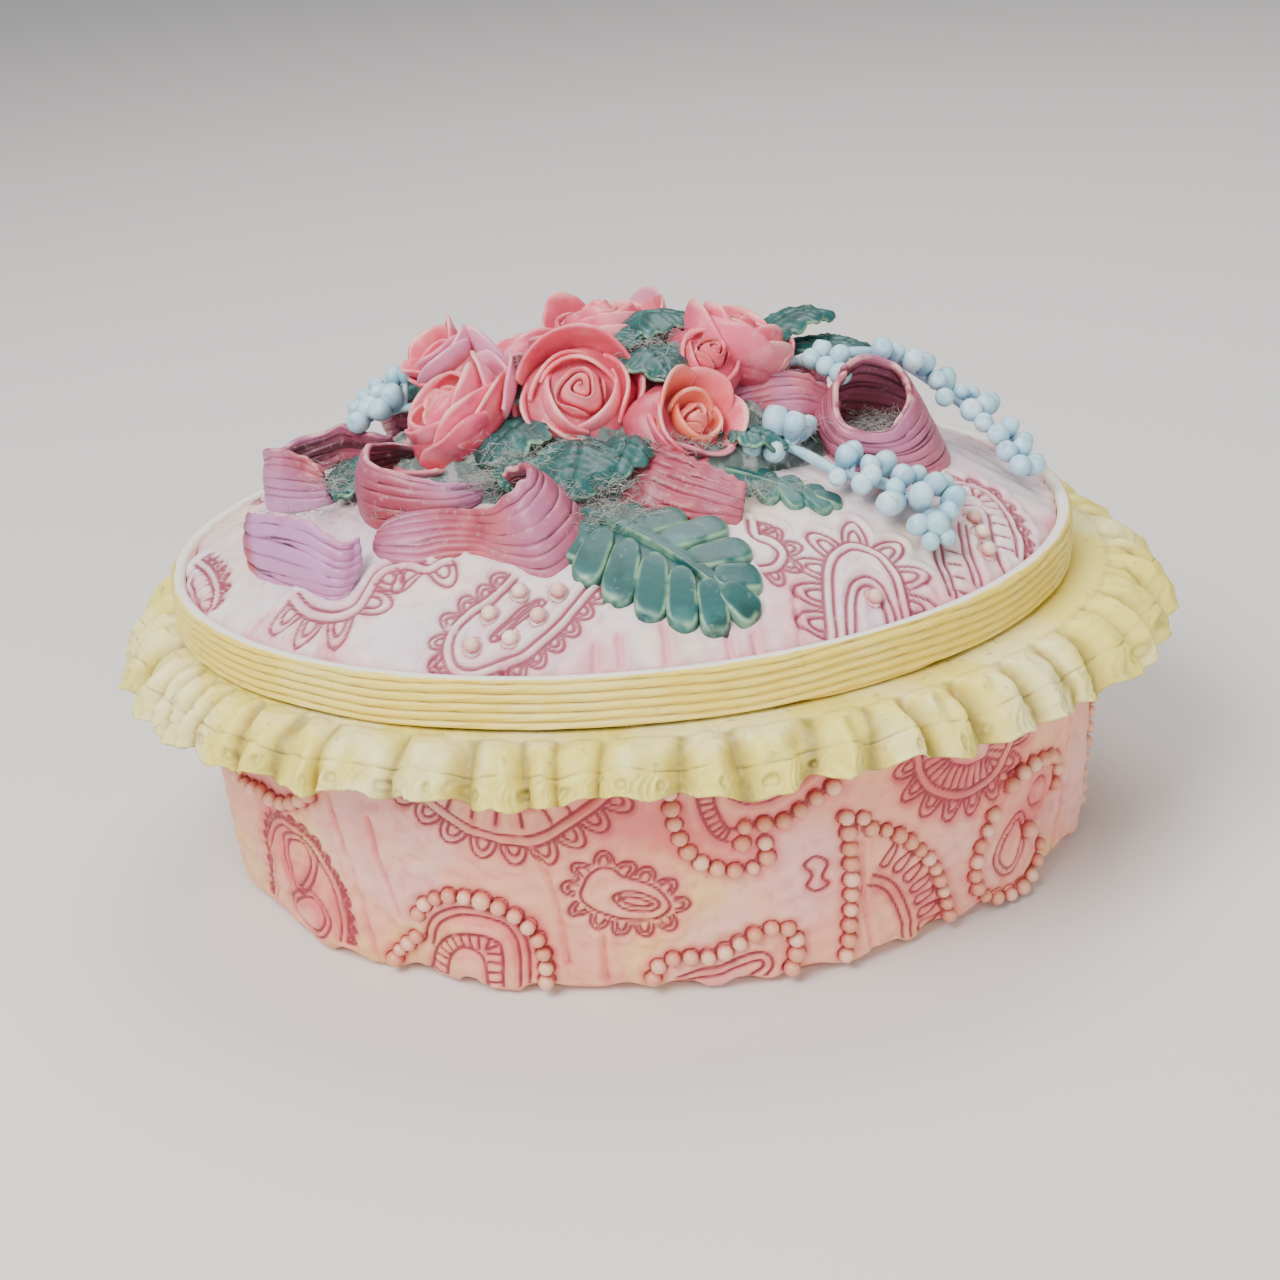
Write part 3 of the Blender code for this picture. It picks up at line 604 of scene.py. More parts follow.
def pleats(run, total, v):
    """Lobe, strength and lean of uneven pleats at every place of the ruffle. Between two pinch lines w
    rises from 0 to 1 and falls again, its crest off the middle, and the lobe is sin(90 w)^p, with p from
    0.7 (a pillow between tight pinches) to 1.8 (a sharp fold). A crest also leans over to one side."""
    rng = np.random.default_rng(17)
    width = rng.uniform(0.4, 1.6, PLEATS)
    pinch = np.concatenate([[0], np.cumsum(width)]) / width.sum() * total - total / 2
    strong = rng.uniform(0.35, 1.3, PLEATS) * (0.7 + 0.4 * width)
    skew, sharp, lean = (rng.uniform(*ends, PLEATS) for ends in ((0.22, 0.78), (0.7, 1.8), (-1.5, 1.5)))
    slant = rng.uniform(-2.2, 2.2, PLEATS + 1)
    slant[-1] = slant[0]
    lobe, power, over = (np.zeros((len(v), len(run))) for _ in range(3))
    for i, share in enumerate(v[:, 0]):
        place = np.interp(run, pinch + slant * share, np.arange(PLEATS + 1.0))
        k = np.minimum(place.astype(int), PLEATS - 1)
        w = np.where(place - k < skew[k], (place - k) / skew[k], (1 - place + k) / (1 - skew[k]))
        lobe[i] = np.sin(np.clip(w, 0, 1) * math.pi / 2) ** sharp[k]
        over[i] = lean[k] * lobe[i] * share
        power[i] = np.interp(place, np.arange(PLEATS) + 0.5, strong)
    return lobe, power, over


def build_ruffle():
    """The flange and the gathered lace round the mouth, a closed skin with an upper and an under
    face. Out from the gather line by v in 0..1 the cloth turns down over a quarter oval whose reach
    and fall are larger at the ends of the pot, and the pleats push it out along its normal."""
    angles = front_dense(1300)
    v = np.linspace(0, 1, 40)[:, None]
    oval = (MOUTH_A + 5, MOUTH_B + 5)
    run = round_length(angles, *oval)
    lobe, power, over = pleats(run, 2 * round_length(math.pi / 2, *oval), v)
    ends = np.cos(angles) ** 2
    reach, fall = (low + (high - low) * ends for low, high in (RUFFLE_REACH, RUFFLE_DROP))
    out = -1.0 + (reach + 0.6) * np.sin(1.38 * v) / math.sin(1.38)
    drop = (fall + 0.2) * (1 - np.cos(1.42 * v)) / (1 - math.cos(1.42))
    slope = np.stack([np.gradient(out, axis=0), -np.gradient(drop, axis=0)], axis=-1)
    slope /= np.linalg.norm(slope, axis=-1)[..., None]
    rise = np.clip(v / (0.12 + 0.25 * np.clip(np.cos(angles), 0, 1) ** 4), 0, 1) ** 0.7
    lift = rise * power * (1.5 + 1.5 * v + 0.9 * ends * v) * (lobe - 0.5)
    sway = 0.6 * wobble(pairs(run, v * 9), 6.5, 4) * rise
    droop = 1.3 * wobble(pairs(run, 0.0), 8, 6) * v**2
    fine = 0.10 * wobble(pairs(run, v * 12), 2.6, 5)
    along = run + 1.1 * np.sin(math.pi * lobe)
    hem = 0.6 * abs(np.sin(math.pi * along / 2.7)) - 0.25
    lace = np.clip((v - LACE_FROM) / 0.05, 0, 1)
    eye = np.hypot(np.mod(along + 0.5 * np.sin(0.37 * along), EYELET_PITCH) - 3.5, (v - 0.83) * 10.5)
    twig = np.hypot(np.mod(along + 3.5, EYELET_PITCH) - 3.5, (v - 0.86) * 10.5)
    detail = lace * (0.38 * hill(eye - 1.1, 0.26) - 0.5 * hill(eye, 0.55))
    detail = detail + lace * 0.28 * np.sin(4.6 * along + 6 * np.sin(9 * v)) * hill(twig, 2.0)
    seam = hill(v - SEAM_AT - 0.02 * np.sin(0.4 * along), 0.013)
    height = lift + sway + fine + detail - 0.3 * seam + 0.3 * hill(v - 0.99, 0.02)
    stretch = 1 + 0.03 * hem * v**6
    out_all = out * stretch - height * slope[..., 1]
    z_all = BOX_HEIGHT - 0.05 - drop * stretch + height * slope[..., 0]
    z_all = z_all + 0.7 * (lobe - 0.5) * power * v**2 - droop
    turn = angles + over / MOUTH_A
    under_hoop = BOX_HEIGHT + 0.15 + 2.2 * np.clip((out_all - 1.5) / 2.5, 0, 1)
    z_all = np.minimum(z_all + 0.25 * hem * v**8, under_hoop)
    upper = oval_ring(MOUTH_A, MOUTH_B, z_all, turn, out_all)
    pick = np.array([39, 34, 27, 20, 13, 6, 0])
    thick = np.array([0.5, 1.5, 1.9, 2.1, 2.3, 2.4, 2.6])[:, None]
    under = oval_ring(MOUTH_A, MOUTH_B, (z_all - 0.8 * detail)[pick] - thick * slope[pick, :, 0] * 0.8,
                      turn[pick], (out_all + 0.8 * detail)[pick] + thick * slope[pick, :, 1] * 0.8)
    rim = [oval_ring(MOUTH_A, MOUTH_B, z, angles, out) for z, out in (
        (47.98, -1.6), (47.98, -MOUTH_IN + 0.4), (47.7, -MOUTH_IN), (46.9, -MOUTH_IN + 0.2), (45.4, -4.5))]
    points = np.concatenate([[rim[-1]], under[::-1], upper[::-1], rim])
    # Painted shade: darker in the hollows and dips of the pleats, along the seam, and on the whole underside.
    # The other mark is grey dust together with painted shade: in the pinch lines, round the eyelets and along
    # the gather under the hoop.
    shade_up = np.clip(0.9 - 1.3 * lobe, 0, 1) * rise + 0.25 * seam + 0.3 * np.clip(-sway, 0, 1)
    dirt_up = 0.6 * seam * (wobble(pairs(run, 0.0), 9, 2) > -0.5) + 0.5 * hill(lobe, 0.16) * rise
    dirt_up = dirt_up + lace * (0.5 * hill(eye - 0.6, 0.3)) + 0.35 * hill(v - 0.04, 0.05)
    under_rows, quiet = np.zeros(under.shape[:2]), np.zeros((len(rim), len(angles)))
    shade = np.concatenate([quiet[:1] + 0.5, under_rows + 0.6, shade_up[::-1], quiet])
    dirt = np.concatenate([quiet[:1], under_rows, dirt_up[::-1], quiet])
    # Ivory resin lace, butter yellow: painted shade of a deeper yellow in the hollows of its folds and
    # on its underside; grey dust with painted shade in the pinch lines, the eyelets and under the hoop
    paint = painted_resin("cast_resin_cream_lace", "#ead868", [
        ("#f1e8ac", 0.75, None, (60.0, 0.45, 0.62)), ("#b49a3a", 0.8, "shade", None),
        ("#6e6234", 0.85, "dirt", None), ("#8f8a6a", 0.5, None, (600.0, 0.62, 0.72))],
        0.5, 0.08, (700.0, 0.35))
    box_piece("ruffle", [shell(points, shade=np.clip(shade, 0, 1), dirt=np.clip(dirt, 0, 1))], paint)


# The lid

def dome_spread(x, y):
    """s^2 = (x/a)^2 + (y/b)^2 inside the hoop: 0 in the middle of the dome, 1 at its edge."""
    return (x / DOME_A) ** 2 + (y / DOME_B) ** 2


def dome_height(x, y):
    """The edge's height plus 16 (1 - s^2.6)."""
    return DOME_EDGE + DOME_HEIGHT * np.clip(1 - dome_spread(x, y) ** (DOME_FULLNESS / 2), 0, 1)


def dome_normal(x, y):
    """Unit normals of the dome, from the slope of its height formula."""
    rate = DOME_HEIGHT * DOME_FULLNESS * np.maximum(dome_spread(x, y), 1e-9) ** (DOME_FULLNESS / 2 - 1)
    normal = np.stack([rate * x / DOME_A**2, rate * y / DOME_B**2, 1 + 0 * x], axis=-1)
    return normal / np.linalg.norm(normal, axis=-1)[..., None]


def bed_height(x, y):
    """The dome with the raised bed of leaves on it."""
    across = ((x - BED_CENTRE[0]) / BED_A) ** 2 + ((y - BED_CENTRE[1]) / BED_B) ** 2
    return dome_height(x, y) + BED_RISE * np.sqrt(np.clip(1 - across, 0, 1))


def build_dome():
    """The padded cloth: a polar grid over the oval, with
    relief lines, edge gathers and pearls, closed below."""
    angles = front_dense(700)
    shares = np.concatenate([np.linspace(1.0, 0.5, 84), np.linspace(0.46, 0.06, 9)])[:, None]
    inner_a, inner_b = DOME_A + 0.2, DOME_B + 0.2
    x, y = shares * inner_a * np.cos(angles), shares * inner_b * np.sin(angles)
    sheet = np.stack([x, y], axis=-1)
    lines, folds = dome_strokes(), [smooth(fold, 1.0) for fold in DOME_FOLDS]
    gap = away(sheet, lines + [-line for line in lines])
    crease = away(sheet, folds + [-fold for fold in folds])
    ring = np.min([abs(np.hypot(x - px, y - py) - 1.5) for px, py in DOME_PEARLS], axis=0)
    inward = (1 - shares) * 60
    edge = hill(inward, 3.0)
    gathers = edge * 0.35 * np.sin(62 * angles + 3 * np.sin(5 * angles) + 2 * np.sin(11 * angles))
    height = relief(gap) + 0.3 * wobble(sheet, 17, 21) + 0.14 * wobble(sheet, 5, 22) + gathers
    height += 0.5 * hill(crease, 1.8) - 0.8 * hill(crease, 0.55)
    height -= 0.25 * hill(ring, 0.5) + 0.9 * hill(inward, 0.7)
    points = np.stack([x, y, dome_height(x, y)], axis=-1) + dome_normal(x, y) * height[..., None]
    gap = np.minimum(np.minimum(gap, ring + 0.15), np.minimum(crease * 1.5 + 0.3, inward))
    wash = 0.04 + 0.40 * hill(gap, 1.3) + 0.24 * wobble(sheet, 20, 23) + 0.10 * wobble(sheet, 4, 24)
    wash = wash + 0.35 * edge * (1 + np.sin(31 * angles + 2 * np.sin(7 * angles))) / 2
    wash = wash + 0.45 * hill(crease, 2.2)
    below = [oval_ring(40, 30, DOME_EDGE + 3, angles),
             oval_ring(inner_a - 0.6, inner_b - 0.6, DOME_EDGE - 6, angles)]
    points = np.concatenate([below, points])
    gap, wash = (np.pad(mark, ((2, 0), (0, 0))) for mark in (np.minimum(gap, CLEAR), wash))
    # Matt resin cloth, chalk white with a cool pink wash round the relief and at the gathers
    paint = painted_resin("cast_resin_pale_cloth", "#e2d0d0", [
        ("#e8d2ae", 0.6, None, (50.0, 0.52, 0.66)), ("#d4c2d0", 0.6, None, (40.0, 0.5, 0.64)),
        ("#dc8c98", 0.85, "wash", None), ("#cf8f98", 0.35, None, (420.0, 0.5, 0.7)),
        ("#8c3348", 0.95, ("gap", 0.46, 0.12), (260.0, 0.2, 0.38))], 0.5, 0.1, (900.0, 0.3))
    lid_piece("dome", [shell(points, foot=(0, 0, DOME_EDGE + 5), top=(0, 0, float(dome_height(0, 0))),
                             gap=gap, wash=np.clip(wash, 0, 1))], paint)
    pearls = []
    for px, py in DOME_PEARLS + [(-px, -py) for px, py in DOME_PEARLS]:
        n = dome_normal(np.array(px), np.array(py))
        pearls.append((np.array([px, py, float(dome_height(px, py))]) + n * 0.4, n, 1.3))
    build_pearls("dome_pearls", pearls, lid_piece, "#e2b8a4", "#f0d6c4")


def build_hoop():
    """The hoop as a closed ring: its section has five ribs
    outside, a flat top ledge and a lip below inside."""
    angles = front_dense(480)
    rise = np.linspace(0, 1, 44)[:, None]
    drift = 0.05 * wobble(pairs(angles * 60, rise * 3), 26, 31)
    ribs = abs(np.sin(math.pi * 5.5 * (rise + drift)))
    grain = wobble(pairs(angles * 60, rise * 60), 7, 33)
    outer = 0.75 * ribs**0.6 - 0.75 + 0.10 * grain
    outer = outer - 0.6 * hill(rise, 0.05) - 0.5 * hill(1 - rise, 0.05)
    side = oval_ring(HOOP_A, HOOP_B, HOOP_BOTTOM + HOOP_HEIGHT * rise, angles[None, :], outer)
    top = [oval_ring(HOOP_A, HOOP_B, HOOP_BOTTOM + HOOP_HEIGHT + z, angles, out)
           for out, z in ((-1.0, 0.12), (-1.7, 0.12), (-2.3, -0.1), (-2.5, -0.8), (-2.6, -2.4))]
    inside = [oval_ring(HOOP_A, HOOP_B, z, angles, out) for out, z in (
        (-8, 50.0), (-13.5, 50.0), (-13.5, 45.6), (-10.6, 45.6), (-10.5, HOOP_BOTTOM), (-0.9, HOOP_BOTTOM))]
    points = np.concatenate([side, top, inside, side[:1]])
    # Painted shade between the ribs and on the inside, with a brown wash in the rib lines too; the pale mark
    # is a painted highlight on the top ledge and faint pale flecks on the ribs.
    rib_line = np.clip(1 - ribs * 3.0, 0, 1)
    quiet = np.zeros((12, len(angles)))
    shade = np.concatenate([0.15 + 0.6 * rib_line, quiet[:5] - 0.4, quiet[5:] + 0.3])
    dirt = np.concatenate([0.7 * rib_line * np.clip(0.6 + grain, 0, 1), quiet])
    pale = np.concatenate([0.2 * np.clip(grain, 0, 1), quiet[:4] + 1, quiet[4:]])
    # Satin resin made as a basket hoop: butter yellow ribs, painted shade with a brown wash between them,
    # and painted shade inside; a pale top edge that is a painted highlight
    paint = painted_resin("cast_resin_hoop", "#ebcf52", [
        ("#f0e088", 0.5, None, (70.0, 0.44, 0.68)), ("#c49a30", 0.7, "shade", (90.0, 0.2, 0.5)),
        ("#ece6da", 1.0, "pale", None), ("#9c7430", 0.95, "dirt", None),
        ("#a99248", 0.4, None, (500.0, 0.64, 0.74))], 0.42, 0.15)
    lid_piece("hoop", [shell(points, shade=np.clip(shade, 0, 1), dirt=dirt, pale=pale)], paint)


# The bouquet

def slab(sheet, thick, rim=(0.35, 0.85), **marks):
    """A sheet given thickness: two skins half of it to either side, joined,
    and thinned at the rim by two shares. Seen from in front its rows run up
    and its columns to the right; the mark "inside" is 1 on the back skin."""
    normal = np.cross(np.gradient(sheet, axis=1), np.gradient(sheet, axis=0))
    normal /= np.linalg.norm(normal, axis=-1)[..., None] + 1e-9
    rows, cols = sheet.shape[:2]
    i, j = np.arange(rows)[:, None], np.arange(cols)[None, :]
    edge = np.minimum(np.minimum(i, rows - 1 - i), np.minimum(j, cols - 1 - j))
    half = np.broadcast_to(thick, (rows, cols)) / 2 * np.array([*rim, 1.0])[np.minimum(edge, 2)]
    index = np.arange(rows * cols).reshape(rows, cols)
    front = np.stack([index[:-1, :-1], index[:-1, 1:], index[1:, 1:], index[1:, :-1]], axis=-1)
    front = front.reshape(-1, 4)
    loop = np.concatenate([index[0, :-1], index[:-1, -1], index[-1, :0:-1], index[:0:-1, 0]])
    after, back = np.roll(loop, -1), rows * cols
    border = np.stack([loop + back, after + back, after, loop], axis=-1)
    filled = {name: np.tile(np.broadcast_to(value, (rows, cols)).reshape(-1), 2)
              for name, value in marks.items()}
    filled["inside"] = np.repeat([0.0, 1.0], back)
    normal = normal * half[..., None]
    return {"verts": np.concatenate([sheet + normal, sheet - normal]).reshape(-1, 3),
            "quads": np.concatenate([front, front[:, ::-1] + back, border]), "tris": np.zeros((0, 3), int),
            "marks": filled}


def turned(points, centre, lean, heading):
    """Carries points from a flower's own frame, whose z is
    its axis, to its place: it leans towards heading."""
    l, h = math.radians(lean), math.radians(heading)
    axis = np.array([math.sin(l) * math.cos(h), math.sin(l) * math.sin(h), math.cos(l)])
    right = np.array([-math.sin(h), math.cos(h), 0.0])
    return centre + points @ np.stack([right, np.cross(axis, right), axis])


# Petal kinds: foot, middle and rim of the profile as (radius, height), flare of its sides, waviness, curl
PETALS = {
    "cup": ((2.6, -7.5), (7.6, -3.6), (4.5, -0.3), 0.25, 0.2, 0.15),
    "inner": ((2.6, -8.5), (8.9, -5.4), (6.6, -0.6), 0.5, 0.3, 0.5),
    "middle": ((2.8, -9.0), (10.6, -7.2), (8.4, -1.8), 0.9, 0.45, 0.9),
    "tall": ((3.0, -9.5), (12.0, -8.0), (9.8, -0.6), 0.5, 0.35, 0.5),
    "outer": ((3.0, -9.5), (12.4, -9.6), (11.4, -3.6), 0.8, 0.5, 1.4),
    "open": ((3.0, -9.5), (10.5, -10.4), (12.8, -6.2), 0.2, 0.5, 1.2),
    "cone": ((2.2, -10.0), (6.4, -7.0), (7.3, 0.0), 0.8, 0.4, 0.6),
    "core": ((1.2, -7.0), (4.6, -4.4), (3.7, -1.8), 0.1, 0.15, 0.0),
}


def petal(kind, turn, wide, seed, lift=0.0, grow=1.0):
    """A petal's sheet: its profile is a quadratic Bezier curve swept over a
    sector of wide degrees either side of turn. The rim is rounded off towards
    the sides, which flare out; one side tucks in under its neighbour."""
    low, mid, rim, flare, wave, curl = PETALS[kind]
    rng = np.random.default_rng(seed)
    s = np.sin(np.linspace(-math.pi / 2, math.pi / 2, 17))[None, :]
    t = (1 - (1 - np.linspace(0, 1, 13)) ** 1.4)[:, None]
    u = t * (1 - (0.24 + 0.08 * rng.uniform()) * abs(s) ** 2.4 + 0.04 * np.sin(2.2 * s + rng.uniform(0, TAU)))
    r = (1 - u) ** 2 * low[0] + 2 * u * (1 - u) * mid[0] + u**2 * rim[0]
    z = (1 - u) ** 2 * low[1] + 2 * u * (1 - u) * mid[1] + u**2 * (rim[1] + lift)
    late = np.clip((u - 0.78) / 0.22, 0, 1) ** 2
    r = r + curl * late + flare * abs(s) ** 3 * u + 0.45 * s * u
    r = r + wave * u**2 * np.sin(3.1 * s + 1.5 * u + rng.uniform(0, TAU)) * grow
    z = z - 0.45 * curl * late + 0.6 * wave * u**2 * np.sin(4.3 * s + rng.uniform(0, TAU))
    opened = 0.62 + 0.38 * np.sin(np.minimum(1.5 * u, 1) * math.pi / 2)
    angle = math.radians(turn) + math.radians(wide) * s * opened
    return np.stack([r * grow * np.cos(angle), r * grow * np.sin(angle), z * grow], axis=-1), u, s


def heart(radius, top, turns, seed):
    """The tight middle of a rose: a mound whose height falls outwards and steps
    up at each petal rim. The rims lie on the spiral where n = turns s^0.62 - a
    / 360 is whole, s being the share of the radius and a the angle."""
    a = np.linspace(0, TAU, 64, endpoint=False)[None, :]
    share = np.linspace(1.0, 0.04, 48)[:, None]
    n = turns * share**0.62 - a / TAU
    n = n + 0.30 * share * np.sin(3 * a + seed) + 0.08 * np.sin(2 * a + 2 * seed)
    q = n % 1.0
    crest = hill(q, 0.16) + hill(1 - q, 0.09)
    gap = hill(q - 0.78, 0.12)
    z = top + 0.6 - 0.62 * radius * share**2 + 0.8 * (1 - q) + 0.4 * crest - gap * (0.45 + 0.55 * share)
    points = np.stack([radius * share * np.cos(a), radius * share * np.sin(a), z], axis=-1)
    skirt = points[:1] * (1.0, 1.0, 0.0) + (0.0, 0.0, top - 6.0)
    # Pale on the crests, partly paint and partly a painted highlight; darker in the gaps as painted shade.
    tip, deep = (np.pad(mark, ((1, 0), (0, 0))) for mark in (0.6 * crest, gap))
    return np.concatenate([skirt, points]), tip, deep


# How thin a petal is on its rim and one step in, as shares of its thickness
PETAL_RIM = (0.4, 0.85)
# Kinds of heart: radius, turns of its spiral, warmth of its paint, and how far the rose's base is sunk
HEARTS = {"full": (3.9, 2.8, 0.25, 0.0), "small": (2.7, 1.8, 0.5, 2.6), None: (0.0, 0.0, 0.0, 2.6)}


def rose(centre, lean, heading, size, kind, top, petals, seed):
    """A rose: a solid base, a heart of tight petals rolled in a spiral, and its outer petals. A petal is
    (kind, turn, wide, lilac, warm, lift, grow), lilac and warm being how far its paint goes that way."""
    def placed(points):
        return turned(np.array(points, float), np.array(centre), lean, heading)
    a = np.linspace(0, TAU, 36, endpoint=False)[None, :]
    radius, turns, glow, sunk = HEARTS[kind]
    base_r = np.array([3.2, 7.2, 9.4, 9.0, 7.4, 5.0])[:, None] * (1 + 0.04 * np.sin(5 * a + seed))
    base_z = np.array([-11.0, -10.4, -8.0, -5.2, -3.2, -2.4])[:, None] - sunk + 0 * a
    points = np.stack([base_r * np.cos(a), base_r * np.sin(a), base_z], axis=-1) * size
    ends = placed([[0, 0, -11.0 * size], [0, 0, (-2.4 - sunk) * size]])
    # The base under the petals is painted darker as shade.
    shells = [shell(placed(points), foot=ends[0], top=ends[1], deep=0.55, warm=0.0, tip=0.0, lilac=0.0,
                    inside=0.0)]
    if kind:
        points, tip, deep = heart(radius * size, (top - 0.3) * size, turns, seed)
        ends = placed([[0, 0, top * size - 6.0], [0, 0, points[-1, :, 2].mean()]])
        shells.append(shell(placed(points), foot=ends[0], top=ends[1], tip=tip, deep=deep, warm=glow,
                            lilac=0.0, inside=0.0))
    for i, (shape, turn, wide, lilac, warm, lift, grow) in enumerate(petals):
        sheet, u, s = petal(shape, turn, wide, 31 * seed + i, lift, grow)
        # Pale rims, partly the lip's paint and partly a painted highlight; darker towards the petal's foot,
        # partly the rose's deeper colour and partly painted shade.
        tip = np.clip(np.maximum((u - 0.93) / 0.07, (abs(s) - 0.95) / 0.05), 0, 1)
        shells.append(slab(placed(sheet * size), 1.15 - 0.4 * u, PETAL_RIM, tip=tip, warm=warm,
                           deep=0.9 * np.clip(1 - u, 0, 1) ** 1.8, lilac=lilac * (0.35 + 0.65 * u)))
    return shells


CUPS = [("cup", 30, 76, 0, 0.1, 0, 1), ("cup", 150, 76, 0, 0.1, 0.4, 1.05),
        ("cup", 270, 76, 0, 0, 0, 1.05)]


def hidden_petals(turn):
    """The petals of a rose behind the bouquet, all turned by this angle."""
    return [(shape, at + turn, *rest) for shape, at, *rest in (
        ("cup", 205, 76, 0, 0, 0, 1), ("cup", 325, 74, 0, 0, 0, 1.02), ("cup", 85, 76, 0, 0.1, 0.3, 1.05),
        ("inner", 130, 60, 0, 0, 0.4, 1), ("inner", 10, 60, 0, 0, 0.2, 1),
        ("inner", 255, 60, 0, 0, -0.6, 1), ("middle", 75, 56, 0.2, 0, 0.6, 1),
        ("middle", 320, 52, 0.2, 0, 0, 1), ("middle", 195, 52, 0.2, 0, 0, 1),
        ("outer", 260, 52, 0.4, 0, 0, 0.95), ("outer", 140, 48, 0.4, 0, 0, 0.95),
        ("open", 20, 50, 0.4, 0, 0, 0.95))]


# Centre, lean and heading in degrees, size, kind of heart, height of its top, petals
ROSES = [
    ((-4.4, -9.6, 84.2), 48, -88, 1.06, "full", 0.6, [
        ("cup", 205, 72, 0, 0.15, 0, 1), ("cup", 325, 70, 0, 0.2, -0.2, 1.02),
        ("cup", 85, 72, 0, 0.3, 0.3, 1.05), ("inner", 128, 52, 0, 0.2, -0.4, 0.98),
        ("inner", 8, 50, 0, 0, -0.2, 1.02), ("inner", 252, 58, 0.1, 0.1, -1.6, 1),
        ("tall", 95, 64, 0, 0, 2.2, 0.96), ("middle", 350, 48, 0.1, 0, 0.2, 1.02),
        ("middle", 196, 44, 0.3, 0, -1.2, 0.96), ("outer", 226, 52, 0.35, 0, -0.6, 0.92),
        ("outer", 305, 46, 0.3, 0, -1.6, 0.92), ("open", 350, 50, 0.5, 0, -0.4, 0.95),
        ("open", 276, 46, 0.4, 0, -0.6, 0.95), ("open", 232, 40, 0.5, 0, -0.4, 0.9)]),
    ((15.0, -15.4, 81.4), 47, -52, 0.98, "small", -2.6, [
        ("core", 200, 80, 0, 1.0, 0, 1), ("core", 70, 70, 0, 1.0, 0.6, 1.1),
        ("core", 320, 70, 0, 1.0, -0.4, 1.1), ("cone", 120, 60, 0, 0.7, 0.8, 1.0),
        ("cone", 40, 55, 0, 0.35, 0.2, 1.04), ("cone", 325, 56, 0.2, 0.2, -0.4, 1.05),
        ("cone", 250, 56, 0.5, 0.1, -1.2, 1.0), ("cone", 185, 52, 0.2, 0, -0.6, 1.06),
        ("middle", 200, 46, 0.2, 0, -1.5, 0.86), ("middle", 285, 44, 0.1, 0, -2.2, 0.85)]),
    ((17.6, -1.6, 86.0), 46, -66, 0.72, "full", 0.3, [
        ("cup", 190, 76, 0, 0.2, -0.8, 1), ("cup", 70, 76, 0, 0.1, 0, 1.1),
        ("inner", 130, 80, 0, 0, -0.6, 0.95), ("inner", 330, 76, 0, 0.1, -1, 0.98),
        ("middle", 215, 60, 0.3, 0, -2, 0.95), ("middle", 20, 60, 0.1, 0, -1, 0.9)]),
    ((23.5, 9.5, 87.2), 24, 20, 0.94, "full", -0.6, CUPS + [
        ("inner", 90, 62, 0, 0, 2.0, 1), ("inner", 215, 62, 0, 0, 1.8, 1),
        ("inner", 330, 62, 0, 0, 1.6, 1), ("tall", 200, 56, 0.1, 0, -0.4, 0.96),
        ("tall", 262, 48, 0, 0.05, 0.2, 0.98), ("tall", 140, 50, 0.2, 0, 1.8, 0.98),
        ("outer", 300, 42, 0, 0.05, 1.2, 0.95), ("outer", 350, 45, 0.2, 0, 0.4, 1),
        ("tall", 90, 54, 0.2, 0, 1.4, 1.0), ("open", 30, 50, 0.3, 0, 0, 1)]),
    ((-0.5, 20.5, 88.0), 14, 100, 1.06, "full", 0.0, CUPS + [
        ("inner", 90, 62, 0, 0, 0.6, 1), ("inner", 215, 62, 0, 0, 0.4, 1),
        ("inner", 330, 62, 0, 0, 0.4, 1), ("tall", 188, 42, 0.1, 0, 2.0, 1.0),
        ("tall", 240, 40, 0, 0.3, 0.6, 1.06), ("tall", 292, 30, 0.1, 0.1, 3.6, 1.0),
        ("outer", 270, 50, 0, 0, 1.4, 0.96), ("tall", 212, 34, 0.9, 0, 3.2, 1.06),
        ("outer", 215, 40, 0, 0, 2.4, 1.0), ("tall", 84, 62, 0.2, 0, -1.4, 1.0),
        ("outer", 36, 56, 0, 0, 1.8, 1.08), ("outer", 140, 50, 0.4, 0, 0, 1)]),
    ((-29.6, 11.0, 87.2), 34, 190, 0.74, None, 0, [
        ("core", 200, 90, 0, 0.2, 0, 1.2), ("cone", 90, 62, 0.2, 0, 1.5, 1.0),
        ("cone", 0, 66, 0.5, 0, 0.8, 1.0), ("cone", 180, 66, 0, 0.1, 0.6, 1.0),
        ("cone", 270, 60, 0, 0, 0, 1.02), ("middle", 0, 58, 0.8, 0, 1.4, 0.95),
        ("middle", 60, 50, 0.7, 0, 1.0, 0.95), ("middle", 270, 50, 0.1, 0, -1.4, 0.9)]),
    ((-28.6, -3.4, 83.0), 38, 186, 1.06, "full", -1.0, CUPS + [
        ("inner", 60, 62, 0.2, 0, 0.6, 1), ("inner", 190, 62, 0.2, 0, 0.4, 1),
        ("inner", 310, 62, 0.2, 0, 0.4, 1), ("middle", 20, 52, 0.1, 0, 0.6, 1),
        ("middle", 100, 50, 0.4, 0, 1.4, 1), ("middle", 52, 58, 0.05, 0.25, -1.6, 1.08),
        ("middle", 350, 44, 0.1, 0, -0.6, 1.06), ("outer", 150, 46, 0.9, 0, 0.8, 0.98),
        ("open", 170, 52, 1.0, 0, 0.6, 0.98), ("outer", 88, 44, 0.6, 0, 0, 1.0),
        ("outer", 270, 60, 0.3, 0, 0, 0.95)]),
    ((13.0, 31.5, 79.5), 42, 75, 0.86, "full", 0.4, hidden_petals(0)),
    ((-15.0, 30.5, 79.5), 40, 110, 0.84, "full", 0.4, hidden_petals(20)),
]


